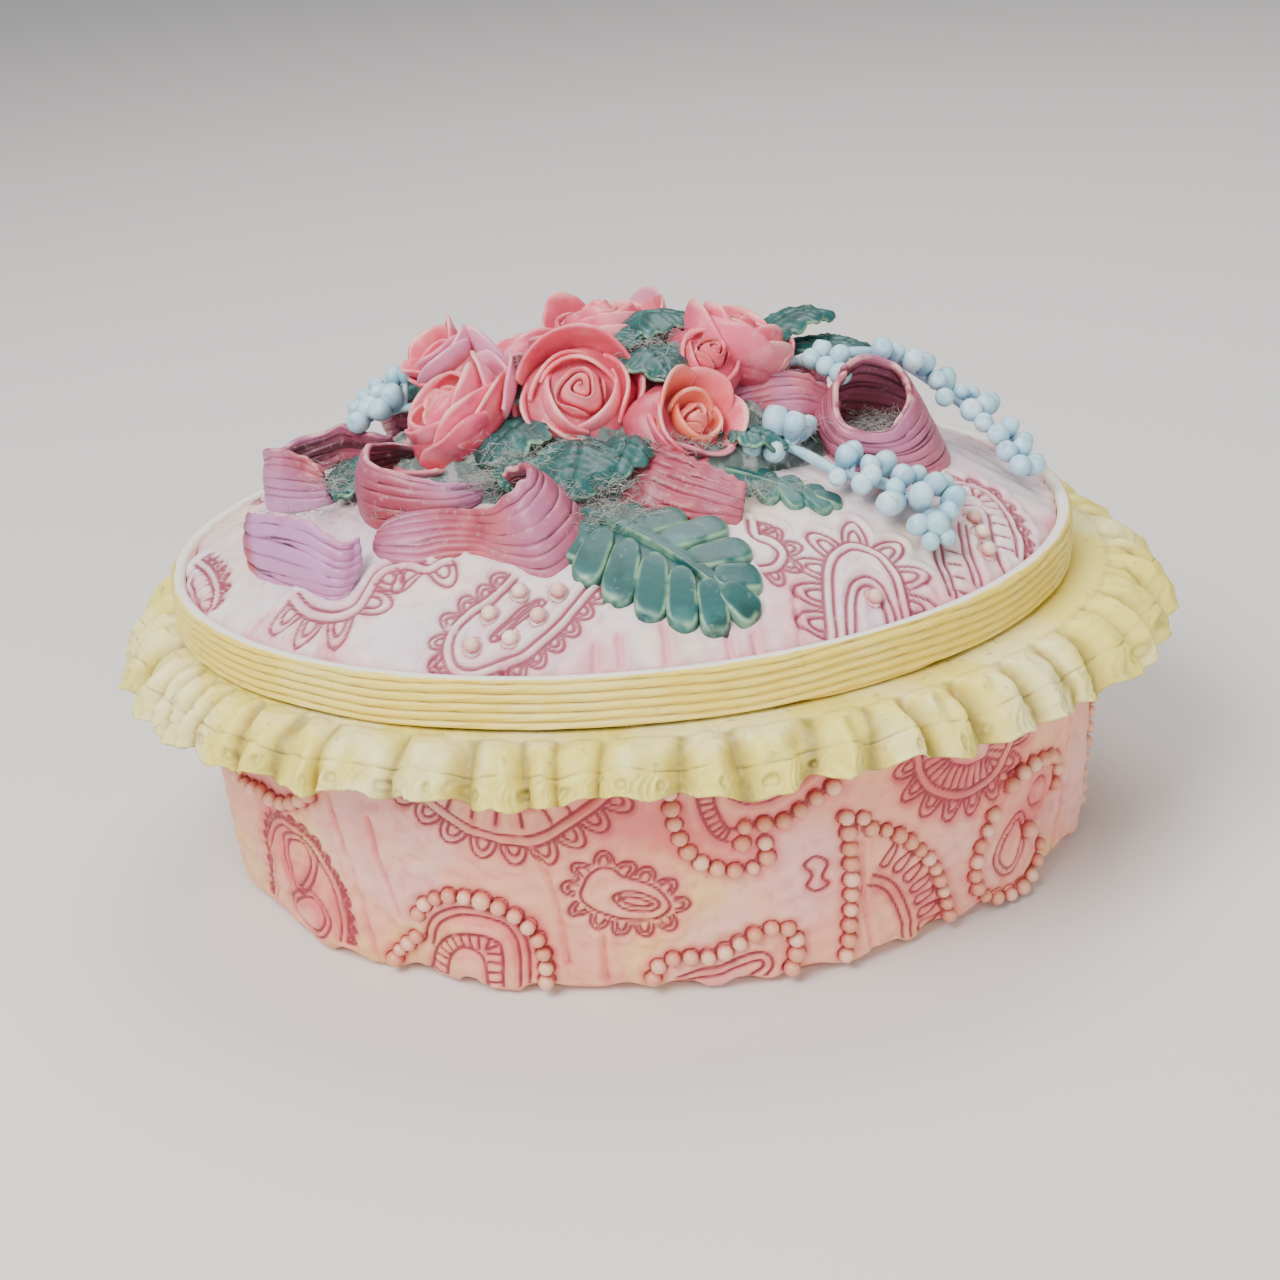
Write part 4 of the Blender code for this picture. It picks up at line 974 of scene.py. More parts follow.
def build_roses():
    """Nine roses and a loose petal as one piece."""
    shells = []
    for i, each in enumerate(ROSES):
        shells += rose(*each, seed=i + 1)
    # The tall pale petal that stands alone between the two left roses and the middle one
    sheet, u, s = petal("tall", 290, 34, 77, 3.6, 0.95)
    sheet = turned(sheet, np.array((-13.8, 15.6, 88.4)), 6, 200)
    # Pale rim, partly paint and partly a painted highlight; darker towards its foot, partly painted shade.
    shells.append(slab(sheet, 1.1, PETAL_RIM, lilac=0.8, warm=0.0, tip=np.clip((u - 0.93) / 0.07, 0, 1),
                       deep=np.clip(1 - u, 0, 1) ** 1.6))
    # Satin petals: coral flesh, crimson in the hollows, partly the rose's own colour and partly painted
    # shade, lilac and orange washes, pale rims, partly their lips' paint and partly a painted highlight
    paint = painted_resin("cast_resin_rose_petals", "#e45c74", [
        ("#f28e96", 0.8, None, (110.0, 0.46, 0.6)), ("#d2385c", 0.75, None, (150.0, 0.52, 0.64)),
        ("#d79cc0", 0.9, "lilac", None), ("#f08058", 0.9, "warm", None), ("#9c1c38", 0.95, "deep", None),
        ("#e0606c", 0.25, "inside", None), ("#f6b8aa", 0.6, "tip", None),
        ("#c4a9a4", 0.35, None, (900.0, 0.6, 0.72))], 0.4, 0.25, (600.0, 0.22))
    lid_piece("roses", shells, paint)


def ribbon(lower, upper, count, belly, lines, seed, lilac):
    """A ribbon between a lower and an upper edge, each a curve through
    the same number of points. Its face has lengthwise grooves at uneven
    heights that drift along it, and its upper edge is a little ragged."""
    rng = np.random.default_rng(seed)
    low, high = bent(lower, count), bent(upper, count)
    u, v = np.linspace(0, 1, count)[:, None], np.linspace(0, 1, 38)[None, :]
    across = high - low
    face = np.cross(np.gradient(low + high, axis=0), across)
    face /= np.linalg.norm(face, axis=1)[:, None]
    width = np.linalg.norm(across, axis=1)[:, None]
    ragged = 0.28 * wobble(pairs(u * 60, 0.0), 7, seed + 1)
    spread = v * (1 + ragged / width * v**4)
    bow = belly * np.sin(math.pi * v) + 0.22 * wobble(pairs(u * 50, v * 10), 9, seed + 2)
    groove = np.zeros(spread.shape)
    for k in range(lines):
        at = (k + 0.75 + rng.uniform(-0.28, 0.28)) / (lines + 0.6)
        drift = at + rng.uniform(-0.05, 0.05) * np.sin(rng.uniform(2, 7) * u + rng.uniform(0, TAU))
        keep = np.clip(1.4 + 1.2 * np.sin(rng.uniform(3, 9) * u + rng.uniform(0, TAU)), 0, 1)
        groove = np.maximum(groove, keep * hill((v - drift) * width, 0.23))
    sheet = low[:, None] + across[:, None] * spread[..., None]
    sheet = sheet + face[:, None] * (bow - 0.55 * groove)[..., None]
    rim = np.clip(np.maximum((v - 0.95) / 0.05, (0.04 - v) / 0.04) + 0 * u, 0, 1)
    patch = np.clip(0.6 + 0.45 * wobble(pairs(u * 50, v * 8), 22, seed + 3), 0, 1)
    return slab(np.swapaxes(sheet, 0, 1), 1.25, groove=np.clip(1.5 * groove, 0, 1).T, tip=rim.T,
                lilac=lilac * 2 * patch.T, warm=(np.clip(0.55 - 0.9 * v, 0, 1) * (1.2 - patch)).T)


def on_dome(points, lift=-0.6):
    """Plan points set on the dome."""
    points = np.array(points, float)
    return np.column_stack([points, dome_height(points[:, 0], points[:, 1]) + lift])


def ribbons_front():
    """Lower and upper edges of the ribbons that the photo shows, from left to right."""
    return [
        (on_dome([(-37, 4.5), (-41.8, 8.3), (-47.5, 13.4), (-53, 12.6), (-57.6, 8), (-58.6, 3.4),
                  (-55.5, -2.4), (-50.6, -5.8), (-46.5, -5.4)]),
         [(-37, 5.5, 73.2), (-41.9, 9.1, 73.2), (-46, 12.6, 73.4), (-51.5, 13.2, 72), (-57.2, 11.2, 71),
          (-58.4, 6.6, 72.4), (-54.9, 1.6, 74), (-50.4, -2.9, 74),
          (-47.8, -4.8, 72)], 96, 0.5, 6, 3, 0.42),
        (on_dome([(-23, -3), (-29, -2.8), (-35.5, -4), (-40, -8.5), (-40.8, -14), (-37.6, -19.5),
                  (-31.6, -21.8), (-25.5, -21.4), (-20, -17.5)]),
         [(-22.5, -6.5, 73.4), (-28, -5.2, 73.6), (-34.4, -4.4, 75.2), (-38.6, -7.6, 77.2),
          (-39.4, -12, 77.5), (-37, -17, 76.6), (-31, -19.8, 75.3), (-25.8, -20, 73.8),
          (-20.5, -17.5, 72.6)], 96, 0.9, 6, 5, 0.3),
        (on_dome([(-60.2, -14.6), (-57.6, -20.2), (-53, -25.4), (-48, -29.8), (-43.8, -32.8),
                  (-41.6, -30.4)]),
         [(-59.4, -11.6, 68.4), (-56.6, -15.8, 69.8), (-52.4, -20.2, 71.2), (-47.4, -25.8, 71.9),
          (-42.4, -29.6, 69.6), (-40.2, -27.2, 69.4)], 60, 0.9, 6, 7, 0.75),
        (on_dome([(-38.6, -24.4), (-36.2, -27.8), (-31, -30.4), (-26.1, -30.6), (-19.9, -32.6),
                  (-15.3, -36.6), (-10.4, -38.7), (-6.2, -35), (-4.2, -30.4), (-4.6, -26.6), (-8, -23.4),
                  (-12.2, -22.6)]),
         [(-37.8, -22.8, 68.2), (-35.6, -21.6, 69.2), (-31.5, -21.8, 70.4), (-27.1, -23.8, 71.2),
          (-22.4, -27, 72.0), (-18.4, -30.8, 74.2), (-15.4, -31.6, 76.6), (-13.6, -30.6, 78),
          (-13.2, -28.8, 78.6), (-14, -26.8, 78.6), (-15.8, -25.2, 77.8),
          (-17.4, -24.4, 76.4)], 110, 0.6, 6, 9, 0.22),
        (on_dome([(-1.6, -20.6), (2, -25), (7.4, -28.8), (13, -30.6), (18.6, -31.4)]),
         [(5.2, -15.2, 76.2), (8.4, -18.6, 76.2), (12.4, -21.6, 75.2), (16.4, -24, 73.8),
          (20.2, -25.8, 71.8)], 60, 0.7, 6, 11, 0.15),
        (on_dome([(19.8, -3), (24, -4.2), (28.8, -4), (33.4, -2.6), (37.6, 0)], 0.6),
         [(19.4, 3, 77.6), (24, 3.6, 78.8), (29, 4, 79.4), (33.6, 3.4, 78.4),
          (38.4, 1.6, 74.4)], 60, 0.6, 7, 13, 0.3),
        (on_dome([(34.4, 6), (32.9, 0), (33.6, -6.6), (37.4, -12.2), (43.4, -14.6), (49.6, -12.6),
                  (54, -7.4), (55.8, -.6), (53.6, 5.4), (48, 9.4), (41, 9.6), (35.6, 7)]),
         [(38.8, -2.6, 81), (37.2, -5.6, 79.6), (36.2, -9.6, 76.6), (38.4, -12.4, 74.4),
          (42, -12.4, 73.6), (45.6, -10.6, 74), (48, -7, 75.6), (48.8, -3.4, 77.6), (47.6, -0.4, 80),
          (44.6, 0.8, 81.8), (41.2, 0, 82.2), (38.4, -2, 81.2)],
         130, 0.4, 8, 15, 0.3),
    ]


def ribbons_back():
    """Two coils on the hidden side."""
    made = []
    for (x, y), (a, b), start, sweep, seed in (
            ((-32, 35), (8.5, 7.5), -40, 260, 21), ((31, 36), (8, 7), 10, 250, 23)):
        turn = np.radians(np.linspace(start, start + sweep, 9))[:, None]
        way = np.concatenate([np.cos(turn), np.sin(turn)], axis=1)
        low = on_dome(np.array((x, y)) + way * (a, b))
        high = low + np.column_stack([way * (1.2, 1.2), np.full(9, 8.6)])
        made.append((low, high, 80, 0.5, 6, seed, 0.3))
    return made


def build_ribbons():
    """Every ribbon as one piece."""
    shells = [ribbon(*each) for each in ribbons_front() + ribbons_back()]
    # Satin ribbon cast in resin: mauve rose, lilac sheen in patches, brick red low down, wine dark grooves
    paint = painted_resin("cast_resin_ribbon", "#9c3e4c", [
        ("#c0646a", 0.6, None, (110.0, 0.5, 0.64)), ("#c48cc0", 0.8, "lilac", None),
        ("#c8564a", 0.75, "warm", None), ("#8a3c4c", 0.6, "inside", None),
        ("#481824", 0.95, "groove", None),
        ("#e2aca0", 0.8, "tip", (400.0, 0.4, 0.6)), ("#b9a0a0", 0.35, None, (900.0, 0.58, 0.7))],
        0.42, 0.2, (600.0, 0.25))
    lid_piece("ribbons", shells, paint)


def tongue(start, end, width, thick, lift, bow=0.0):
    """A plump lobe from start to end: a flat-topped bar with
    rounded ends, its top dished inside a raised rim."""
    start, end = np.array(start, float), np.array(end, float)
    t = (1 - np.cos(np.linspace(0, math.pi, 15))) / 2
    a = np.linspace(0, TAU, 24, endpoint=False)
    run = end - start
    left = np.array([-run[1], run[0]]) / np.linalg.norm(run)
    spine = start + np.outer(t, run) + np.outer(np.sin(math.pi * t) * bow, left)
    girth = np.clip(1 - abs(2 * t - 1) ** 4.5, 0.02, 1) ** 0.5 * (0.78 + 0.28 * t)
    side = np.sign(np.cos(a)) * abs(np.cos(a)) ** 0.55
    top = np.sign(np.sin(a)) * abs(np.sin(a)) ** 0.4
    flat = spine[:, None] + left * (girth[:, None] * side * width / 2)[..., None]
    crown = np.maximum(abs(side)[None, :] ** 2.5, abs(2 * t - 1)[:, None] ** 5)
    up = np.where(top > 0, thick * top * (0.82 + 0.22 * crown) * (0.45 + 0.55 * girth[:, None]), 1.6 * top)
    z = dome_height(flat[..., 0], flat[..., 1]) + lift * (1 - t[:, None]) + up
    points = np.concatenate([flat, z[..., None]], axis=-1)
    edge = hill(crown - 0.8, 0.22) * (top > 0)
    # The underside takes the dark vein colour as painted shade under the lobe.
    return shell(points[:, ::-1], foot=points[0].mean(0), top=points[-1].mean(0), edge=edge[:, ::-1],
                 vein=np.where(top > 0, 0.0, 0.6)[::-1], inside=0.0)


def blade(foot, middle, tip, wide, teeth, fold, seed, vein=0.22):
    """A thin crinkled leaf along a bent spine: toothed rim,
    veins slanting out from the midrib, folded along it."""
    foot, middle, tip = (np.array(point, float) for point in (foot, middle, tip))
    t, s = np.linspace(0, 1, 36)[:, None], np.linspace(-1, 1, 25)[None, :]
    spine = (1 - t) ** 2 * foot + 2 * t * (1 - t) * middle + t**2 * tip
    way = tip - foot
    left = np.array([-way[1], way[0], 0.0]) / np.hypot(way[0], way[1])
    tooth = abs(np.mod(t * teeth, 1.0) - 0.35)
    half = wide * np.sin(math.pi * (0.1 + 0.88 * t)) ** 0.75 * (1.0 - 0.34 * tooth)
    lean = t - 0.22 * abs(s) + 0.2
    line = hill(0.5 - abs(np.mod(lean * teeth, 1.0) - 0.5), 0.09) + hill(s, 0.07)
    sheet = spine[:, None, :] + left * (half * s)[..., None]
    noise = wobble(pairs(t * 14, s * 6), 7, seed)
    sheet[..., 2] += (-fold * abs(s) ** 1.4 * half + 0.5 * noise * (0.3 + abs(s))
                      + 0.3 * np.cos(TAU * lean * teeth) * abs(s) - vein * line)
    edge = np.clip((abs(s) - 0.88) / 0.12, 0, 1)
    return slab(np.flip(sheet, axis=1), 0.8, edge=edge, vein=np.clip(line, 0, 1))


# Lobes of the two plate-like leaves: foot and tip in the lid's plan, width
LOBES = [
    ((-3.6, -31.0), (-7.4, -37.6), 5.1), ((-1.8, -32.6), (-6.0, -41.4), 5.3), ((1.6, -35.6),
                                                                               (-1.4, -45.6), 5.5),
    ((5.2, -38.6), (3.4, -48.4), 5.3), ((8.8, -41.2), (8.2, -50.0), 5.0), ((12.4, -43.4),
                                                                           (13.2, -50.8), 4.7),
    ((14.6, -44.6), (19.2, -48.4), 5.1), ((13.4, -43.2), (20.6, -42.2), 4.7), ((9.6, -40.4),
                                                                               (19.6, -36.8), 5.0),
    ((5.4, -37.2), (16.4, -31.8), 5.0), ((1.6, -33.8), (10.4, -29.6), 5.0), ((-2.0, -30.6),
                                                                             (4.4, -28.4), 4.5),
]
SMALL_LOBES = [
    ((19.0, -19.2), (20.6, -23.6), 3.2), ((22.2, -20.6), (24.2, -25.8), 3.4), ((25.6, -22.2),
                                                                               (28.2, -27.0), 3.2),
    ((29.0, -23.8), (32.8, -27.2), 3.1), ((30.6, -24.2), (35.0, -25.2), 2.9), ((22.6, -20.2),
                                                                               (24.8, -18.0), 3.0),
    ((26.0, -21.8), (29.2, -20.2), 3.0), ((29.4, -23.4), (32.8, -22.8), 3.0),
]


def build_leaves():
    """Two plate-like leaves of plump lobes with a midrib, and the crinkled leaves, as one piece."""
    shells = [tongue(*lobe, 1.9, 1.1) for lobe in LOBES]
    shells += [tongue(*lobe, 1.5, 0.7) for lobe in SMALL_LOBES]
    shells += [tongue((-6.4, -28.2), (17.0, -46.4), 13.0, 1.3, 0.5, 0.8),
               tongue((17, -18.4), (32.4, -25.4), 4.4, 1.2, 0.7),
               tongue((-6, -28.4), (16.4, -46.0), 1.9, 2.4, 1.3, 0.8),
               tongue((16.6, -18.2), (32, -25.2), 1.3, 1.8, 0.9)]
    shells += [
        blade((5.6, 1.5, 85.6), (8.0, -0.5, 88.4), (10.2, -8.4, 84.0), 6.8, 5, 0.18, 41, 0.4),
        blade((-1.4, 6.5, 84.6), (2.0, 5.4, 87.6), (6.2, 2.4, 86.8), 4.4, 4, 0.2, 42, 0.35),
        blade((1.0, 9.4, 85.4), (8.0, 10.4, 92.0), (14.8, 8.8, 88.0), 7.0, 5, 0.25, 43, 0.4),
        blade((-11.6, -6.6, 78.6), (-16.0, -11.6, 80.6), (-21.0, -16.2, 75.0), 7.2, 5, 0.18, 44, 0.4),
        blade((-4.6, -15.2, 77.4), (-5.8, -20.6, 78.6), (-7.4, -27.6, 72.2), 7.6, 5, 0.18, 45, 0.4),
        blade((-13.6, -15.0, 76.0), (-14.6, -19.0, 77.0), (-15.6, -24.0, 73.2), 5.0, 4, 0.2, 53, 0.4),
        blade((3.6, -15.0, 77.4), (1.6, -19.0, 78.0), (-1.0, -25.0, 73.6), 5.0, 4, 0.2, 54, 0.4),
        blade((19.0, -13.0, 76.0), (22.6, -15.4, 77.6), (27.6, -16.4, 73.6), 4.6, 4, 0.2, 55, 0.4),
        blade((-38.6, 1.0, 71.6), (-43.0, -1.0, 72.2), (-48.4, -3.4, 68.6), 4.6, 5, 0.2, 46),
        blade((-41.0, -3.5, 70.5), (-43.6, -6.0, 71.4), (-45.4, -9.6, 68.8), 4.0, 4, 0.2, 47),
        blade((24.0, 12.0, 81.0), (31.6, 16.5, 88.4), (39.6, 18.0, 84.0), 5.6, 5, 0.2, 48, 0.35),
        blade((30.0, 14.5, 80.0), (40.0, 14.0, 83.0), (47.0, 13.0, 77.6), 5.2, 5, 0.2, 49, 0.35),
        blade((-5, 30, 78), (-6, 42, 74.6), (-4, 50, 67.6), 7.4, 6, 0.1, 50),
        blade((-30, 19, 77), (-40, 25, 75), (-46, 28, 69.6), 6.4, 5, 0.1, 51),
        blade((3, 33, 78), (9, 40, 75), (13, 47.5, 67.6), 5.4, 5, 0.1, 52),
    ]
    # Satin leaves: sea green, bottle green in veins and hollows and as painted shade under the lobes, edges
    # rubbed to a pale yellow green
    paint = painted_resin("cast_resin_leaves", "#1f524f", [
        ("#3f7c76", 0.5, None, (110.0, 0.5, 0.66)), ("#153c36", 0.8, None, (150.0, 0.52, 0.66)),
        ("#17382f", 0.85, "vein", None), ("#2c5a44", 0.6, "inside", None),
        ("#9cc49a", 0.65, "edge", (260.0, 0.35, 0.6)), ("#7f9890", 0.35, None, (700.0, 0.6, 0.75))],
        0.38, 0.25, (600.0, 0.25))
    lid_piece("leaves", shells, paint)


def build_bed():
    """The dark mass under the flowers: the raised bed with a lumpy surface."""
    angles = np.linspace(-math.pi, math.pi, 220, endpoint=False)[None, :]
    share = np.linspace(1.03, 0.04, 60)[:, None]
    x = BED_CENTRE[0] + share * BED_A * np.cos(angles)
    y = BED_CENTRE[1] + share * BED_B * np.sin(angles)
    sheet = np.stack([x, y], axis=-1)
    z = bed_height(x, y) + 0.9 * wobble(sheet, 5, 61) + 0.45 * wobble(sheet, 2.0, 62)
    z = z - 2.2 * np.clip((share - 0.9) / 0.13, 0, 1)
    foot = (*BED_CENTRE, float(dome_height(*BED_CENTRE)) - 2)
    top = (*BED_CENTRE, float(bed_height(*BED_CENTRE)))
    # Rough resin ground, dark green under a grey film of dust; the dark green and its darker patches are
    # partly painted shade under the flowers
    paint = painted_resin("cast_resin_leaf_bed", "#5d6b66", [
        ("#9a9c98", 0.85, None, (330.0, 0.46, 0.56)), ("#2c3f38", 0.9, None, (160.0, 0.5, 0.6))],
        0.8, 0.0, (500.0, 0.6))
    lid_piece("leaf_bed", [shell(np.stack([x, y, z], axis=-1), foot=foot, top=top)], paint)


def tube(points, radius, sides=8, **marks):
    """A closed tube along points, its radius one value or one for each point."""
    along = np.gradient(points, axis=0)
    along /= np.linalg.norm(along, axis=1)[:, None]
    one = np.cross(along, (0.3, 0.2, 1.0))
    one /= np.linalg.norm(one, axis=1)[:, None]
    two = np.cross(along, one)
    a = np.linspace(0, TAU, sides, endpoint=False)[:, None]
    radius = np.broadcast_to(radius, len(points))[:, None, None]
    grid = points[:, None] + radius * (one[:, None] * np.cos(a) + two[:, None] * np.sin(a))
    return shell(grid, foot=points[0], top=points[-1], **marks)


def berry(centre, radius, way, flat):
    """A berry: a longish egg, narrower at its foot, with
    its tip a little dented; painted shade darkens it round its foot and in the dent."""
    made = ball(centre, radius, 9, 14, flat, way)
    z = np.array(way, float) / np.linalg.norm(way)
    lift = (made["verts"] - centre) @ z / (radius * flat)
    out = made["verts"] - centre - np.outer(lift * radius * flat, z)
    dent = np.clip(lift - 0.86, 0, 1) * 1.6 * radius
    made["verts"] = made["verts"] + out * (0.16 * lift)[:, None] - z * dent[:, None]
    # Painted shade: darker round the foot, where berries meet, and in the dent of the tip.
    made["marks"] = {"deep": np.clip(0.35 - 0.9 * lift, 0, 1) + 0.4 * (lift > 0.985)}
    return made


def spray(stem, berries):
    """A stem with its berries; each sits on a short stalk
    from the nearest point of the stem. Shells for it."""
    path = bent(stem, 40)
    # Stems and stalks take part of the same blue grey all over.
    shells = [tube(path, 0.85 * (1 + 0.15 * np.sin(np.linspace(0, 19, 40))), deep=0.35)]
    for x, y, z, radius in berries:
        centre = np.array((x, y, z), float)
        near = path[np.argmin(np.linalg.norm(path - centre, axis=1))]
        shells.append(tube(bent([near, (near + centre) / 2, centre], 5), 0.55, deep=0.3))
        shells.append(berry(centre, radius * (0.84 + 0.10 * math.sin(9.1 * x + 5.3 * y)),
                            centre - near + np.array((0, 0, 0.6)), 1.35 + 0.2 * math.sin(7 * x)))
    return shells


# Sprays: points of the stem, and (x, y, z, radius) of the berries
SPRAYS = [
    ([(20, -11.5, 74.5), (25, -13, 73.6), (29.7, -15.2, 72.4), (35.2, -20.6, 70.4), (39.9, -21.4, 69.4),
      (44.2, -24.2, 67.8), (48.6, -28.6, 65.4)],
     [(22.4, -14.2, 73.6, 2.1), (25.6, -16.2, 73.2, 2.0), (26.2, -11.4, 76.2, 2.3),
      (29.0, -12.4, 75.8, 2.2), (30.6, -10.4, 74.2, 2.0), (31.6, -7.4, 73.6, 2.0),
      (27.4, -8.6, 74.6, 1.9), (34.8, -22.2, 70.4, 2.0), (37.8, -17.6, 72.2, 2.1),
      (38.2, -24.2, 69.8, 2.2), (40.0, -20.6, 71.2, 2.0), (42.6, -18.2, 70.2, 2.1),
      (39.8, -23.2, 70.6, 1.9), (36.4, -19.4, 72.6, 1.9), (44.8, -22.0, 69.4, 2.0),
      (47.4, -20.2, 68.8, 2.0), (42.4, -27.6, 67.6, 2.2), (43.4, -25.0, 68.8, 2.0),
      (46.8, -27.4, 68.0, 2.6), (46.0, -31.6, 65.4, 2.1), (51.2, -21.6, 67.2, 2.1),
      (52.2, -25.0, 66.2, 2.2), (49.4, -23.4, 68.2, 2.4), (48.6, -31.2, 65.2, 2.2),
      (50.8, -28.2, 65.6, 2.1), (47.2, -34.0, 63.6, 1.9), (49.8, -32.6, 63.6, 1.8)]),
    ([(38, 9, 80), (45, 9.6, 79.4), (51, 10, 76.2), (56, 10, 72.6), (60, 8.6, 69), (64, 5.6, 66),
      (66.6, 0.5, 64), (68, -4.4, 62.4)],
     [(46, 6.8, 80.8, 2.0), (48.6, 8.8, 79.2, 2.0), (51.4, 7.6, 78, 2.4), (53.6, 10.4, 76.4, 2.3),
      (51.8, 12.6, 76.2, 2.0), (55.6, 8.8, 73.8, 2.0), (57.6, 11.4, 72.6, 2.1), (59.8, 9.8, 71, 1.9),
      (56.6, 6.4, 71.6, 1.8), (62, 11.8, 69.4, 2.0), (64.6, 10.2, 68.2, 2.1), (63.2, 6.6, 69.2, 2.0),
      (60.8, 5.0, 69.4, 2.1), (62.6, 2.6, 67.8, 2.2), (64.6, 0.4, 66.2, 2.3), (66.8, 3.4, 66.2, 2.1),
      (65.4, -3.2, 64.6, 2.1), (68.0, -1.2, 64.2, 2.0), (67.0, -5.8, 63.0, 2.0), (69.2, -4.6, 62.4, 1.9),
      (68.6, 2.0, 64.0, 1.9)]),
    ([(30, 8, 80), (34, 7, 79.6), (37.6, 5.6, 79)],
     [(34.2, 5.2, 80.6, 2.1), (36.4, 3.4, 79.8, 2.2), (38.6, 4.2, 81, 2.0), (38.4, 1.8, 79, 2.1),
      (36, 7, 81, 2.0)]),
    ([(-30, 8, 77), (-36, 10, 76.4), (-41, 12, 74.6), (-46, 15, 71.6)],
     [(-36.4, 9.6, 78.6, 2.1), (-38.6, 8.4, 77, 2.1), (-40.6, 10.6, 76.6, 2.2), (-38.8, 12.6, 78.4, 2.0),
      (-42.6, 9.4, 74.8, 2.0), (-43.0, 13, 75.4, 2.2), (-41.4, 14.6, 76.6, 2.0), (-39.6, 15.6, 78.6, 2.0),
      (-36.4, 14.6, 80.4, 2.0), (-34.0, 13.0, 81.4, 1.9)]),
    ([(8, 33, 74), (13, 39, 72), (18, 45, 68.6)],
     [(13, 37, 74.4, 2.1), (16, 40.6, 72.6, 2.1), (12.4, 42, 72, 2.0), (18.6, 43.6, 70.6, 2.1),
      (16.6, 46.4, 68.8, 2.0)]),
    ([(-15, 35, 74), (-19, 41, 71.4), (-23, 46, 67.4)],
     [(-16.6, 38.6, 74.2, 2.1), (-20.4, 40.6, 72.6, 2.1), (-17.6, 43, 71.4, 2.0),
      (-23.6, 44.4, 69.4, 2.1), (-20.6, 47, 68, 2.0)]),
]


def build_berries():
    """Every spray of berries as one piece."""
    shells = [part for stem, berries in SPRAYS for part in spray(stem, berries)]
    # Satin berries, ice blue, with blue grey painted shade where they meet and in their tip dents;
    # stems and stalks a darker blue grey
    paint = painted_resin("cast_resin_blue_berries", "#a6cede", [
        ("#cfe2e6", 0.7, None, (200.0, 0.47, 0.62)), ("#6c94ae", 0.9, "deep", None),
        ("#9cc8c2", 0.5, None, (120.0, 0.52, 0.66)), ("#8b9aa6", 0.5, None, (700.0, 0.58, 0.7))],
        0.38, 0.25, (500.0, 0.2))
    lid_piece("berries", shells, paint)


# Where grey lint has caught: middle, half sizes, and how much of it there is
LINT = [
    ((-14, -16, 76.5), (8, 7, 2.2), 420), ((-5, -24, 73.5), (10, 5, 2.0), 420), ((-1, -29.5, 71.0),
                                                                                 (7, 5, 1.6), 300),
    ((-20, -18, 73.5), (4, 5, 2.0), 200), ((10, -17.5, 76.5), (8, 3, 1.6), 160), ((24, -12, 75.2),
                                                                                  (9, 4, 1.2), 200),
    ((44, -3, 71.5), (6, 6, 1.2), 260), ((-44, -5, 71.0), (5, 7, 1.2), 200), ((-34, -20, 70.5),
                                                                              (6, 4, 0.8), 50),
    ((7, 2, 87.0), (8, 5, 1.4), 200), ((-10, 6, 84.0), (6, 6, 1.6), 200), ((20, -25, 71.0),
                                                                           (8, 4, 0.7), 120),
    ((-48, -14, 68.6), (9, 6, 0.6), 90), ((0, 30, 79), (22, 8, 1.5), 200),
]


def build_lint():
    """Fibres of dust: thin bent threads of three sides, each a quadratic curve from its own start."""
    rng = np.random.default_rng(29)
    start = np.concatenate([rng.normal(size=(round(1.35 * share), 3)) * half * (0.5, 0.5, 0.4) + middle
                            for middle, half, share in LINT])
    count = len(start)
    way = rng.normal(size=(count, 3)) * (1, 1, 0.45)
    way /= np.linalg.norm(way, axis=1)[:, None]
    bend = rng.normal(size=(count, 3)) * (1, 1, 0.6)
    length = rng.uniform(0.9, 3.4, count)[:, None, None]
    t = np.linspace(-0.5, 0.5, 5)[None, :, None]
    line = start[:, None] + length * (way[:, None] * t + bend[:, None] * 1.1 * t**2)
    one = np.cross(way, (0.31, 0.52, 0.8))
    one /= np.linalg.norm(one, axis=1)[:, None]
    two = np.cross(way, one)
    a = np.array([0, 1, 2]) * TAU / 3
    thin = 0.045 * (1 - 0.7 * abs(2 * t) ** 3)[..., None]
    ring = one[:, None, None] * np.cos(a)[:, None] + two[:, None, None] * np.sin(a)[:, None]
    verts = (line[:, :, None] + thin * ring).reshape(-1, 3)
    index = np.arange(count * 15).reshape(count, 5, 3)
    after = np.roll(index, -1, axis=2)
    quads = np.stack([index[:, :-1], after[:, :-1], after[:, 1:], index[:, 1:]], axis=-1).reshape(-1, 4)
    tris = np.concatenate([index[:, 0, ::-1], index[:, -1]])
    # Grey household lint: matt fibres, drawn 0.09 mm thick so that they show
    paint = painted_resin("grey_lint", "#b4b2ac", [("#7b7c78", 0.7, None, (300.0, 0.4, 0.6))], 0.95, 0.0,
                          (500.0, 0.0))
    lid_piece("lint", [{"verts": verts, "quads": quads, "tris": tris, "marks": {}}], paint)


# Light, floor and camera

FLOOR_HALF = 6.0
# Lamps: place in metres, size, watts
LAMPS = {"key": ((-0.35, -0.40, 0.70), 0.45, 10.0), "fill": ((0.35, -0.75, 0.22), 0.7, 4.5),
         "top": ((0.1, 0.35, 0.8), 0.5, 4.5)}


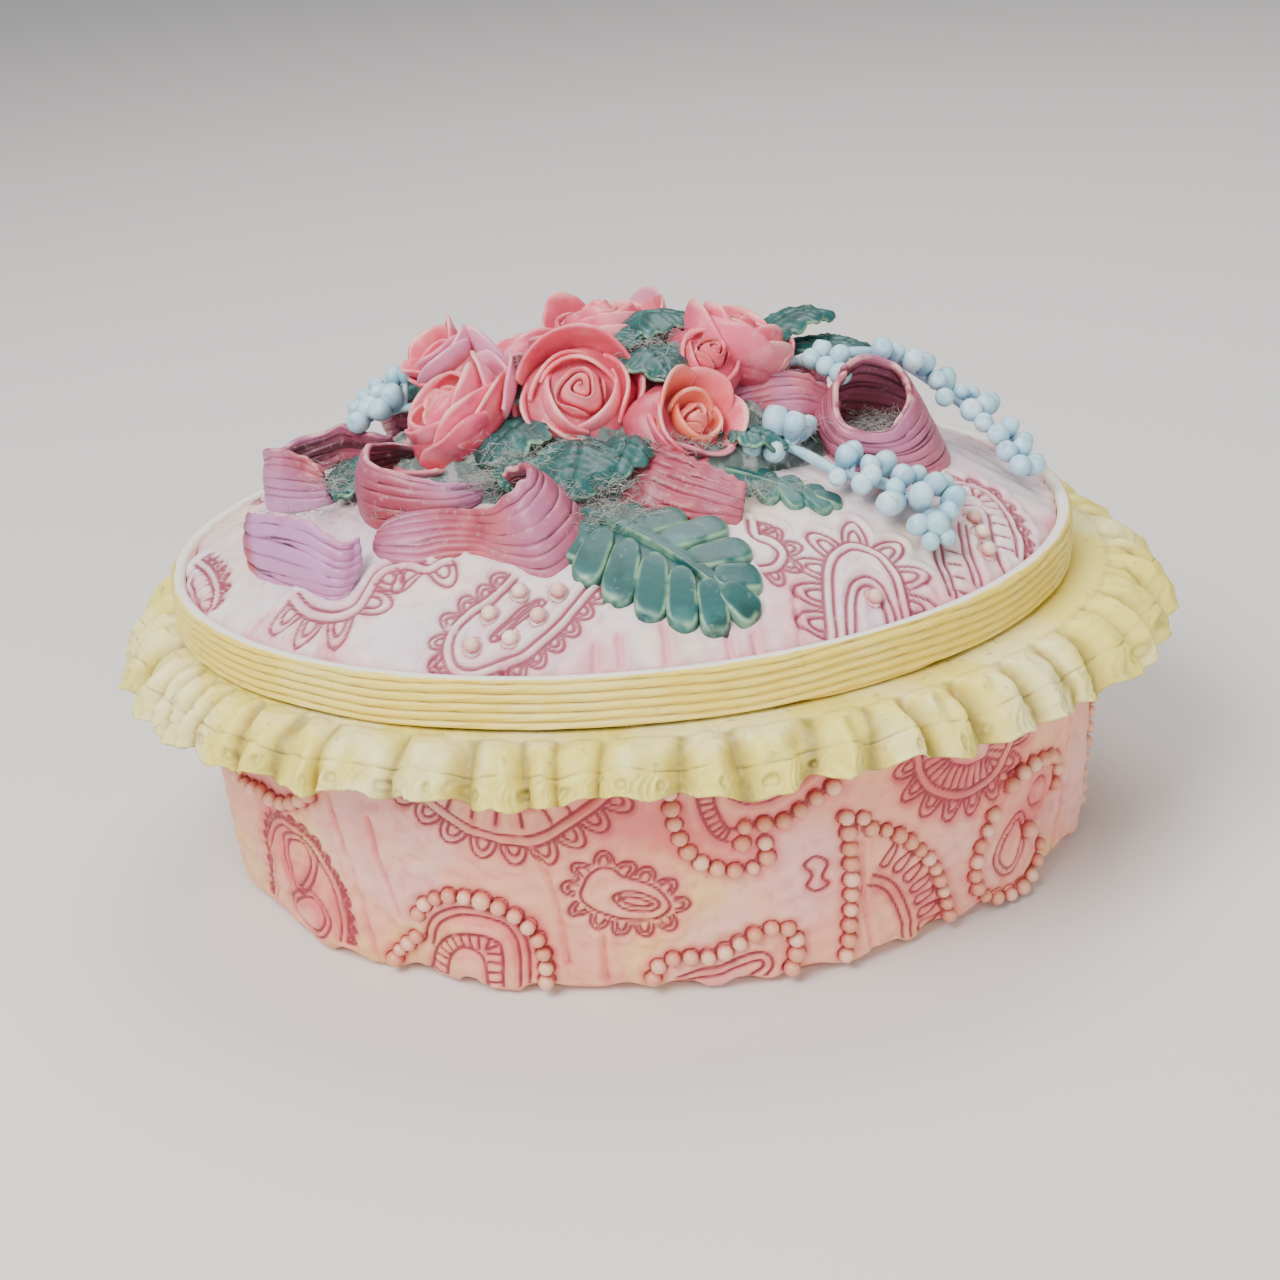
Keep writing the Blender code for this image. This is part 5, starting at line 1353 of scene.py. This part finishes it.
def build_stage():
    """A wide pale floor under soft light from above and in front."""
    row = np.linspace(-FLOOR_HALF, FLOOR_HALF, 3)
    mesh = bpy.data.meshes.new("floor")
    faces = [(i, i + 1, i + 4, i + 3) for i in (0, 1, 3, 4)]
    mesh.from_pydata([(x, y, 0.0) for y in row for x in row], [], faces)
    paint = bpy.data.materials.new("pale_floor")
    paint.use_nodes = True
    shader = paint.node_tree.nodes["Principled BSDF"]
    shader.inputs["Base Color"].default_value = linear("#dcd8d4")
    shader.inputs["Roughness"].default_value = 0.8
    mesh.materials.append(paint)
    put("floor", mesh)
    world = bpy.data.worlds.new("studio")
    bpy.context.scene.world = world
    world.use_nodes = True
    sky = world.node_tree.nodes["Background"]
    sky.inputs["Color"].default_value = linear("#eef0f4")
    sky.inputs["Strength"].default_value = 0.42
    for name, (place, size, power) in LAMPS.items():
        light = bpy.data.lights.new(name, "AREA")
        light.size = size
        light.energy = power
        lamp = put(name, light)
        lamp.location = place
        lamp.rotation_euler = (Vector((0, 0, 0.04)) - Vector(place)).to_track_quat("-Z", "Y").to_euler()


def build_camera():
    """The photo's view: 342 mm away, looking down 26.5 degrees, the picture rolled by 4.8 degrees."""
    distance, focal_px, image_px = 0.342, 1961.0, 1280.0
    down, yaw, roll = math.radians(26.5), math.radians(-1.5), math.radians(-4.8)
    heading = Matrix.Rotation(-yaw, 4, "Z")
    aim = heading @ Vector((-0.0012, 0, 0.0342))
    back = heading @ Vector((0, -math.cos(down), math.sin(down)))
    camera = bpy.data.cameras.new("camera")
    camera.sensor_width = 36.0
    camera.lens = focal_px / image_px * camera.sensor_width
    camera.clip_start = 0.01
    eye = put("camera", camera)
    look = (-back).to_track_quat("-Z", "Y").to_matrix().to_4x4()
    eye.matrix_world = Matrix.Translation(aim + back * distance) @ look @ Matrix.Rotation(roll, 4, "Z")
    bpy.context.scene.camera = eye


build_pot()
build_ruffle()
build_dome()
build_hoop()
build_bed()
build_roses()
build_ribbons()
build_leaves()
build_berries()
build_lint()
build_stage()
build_camera()
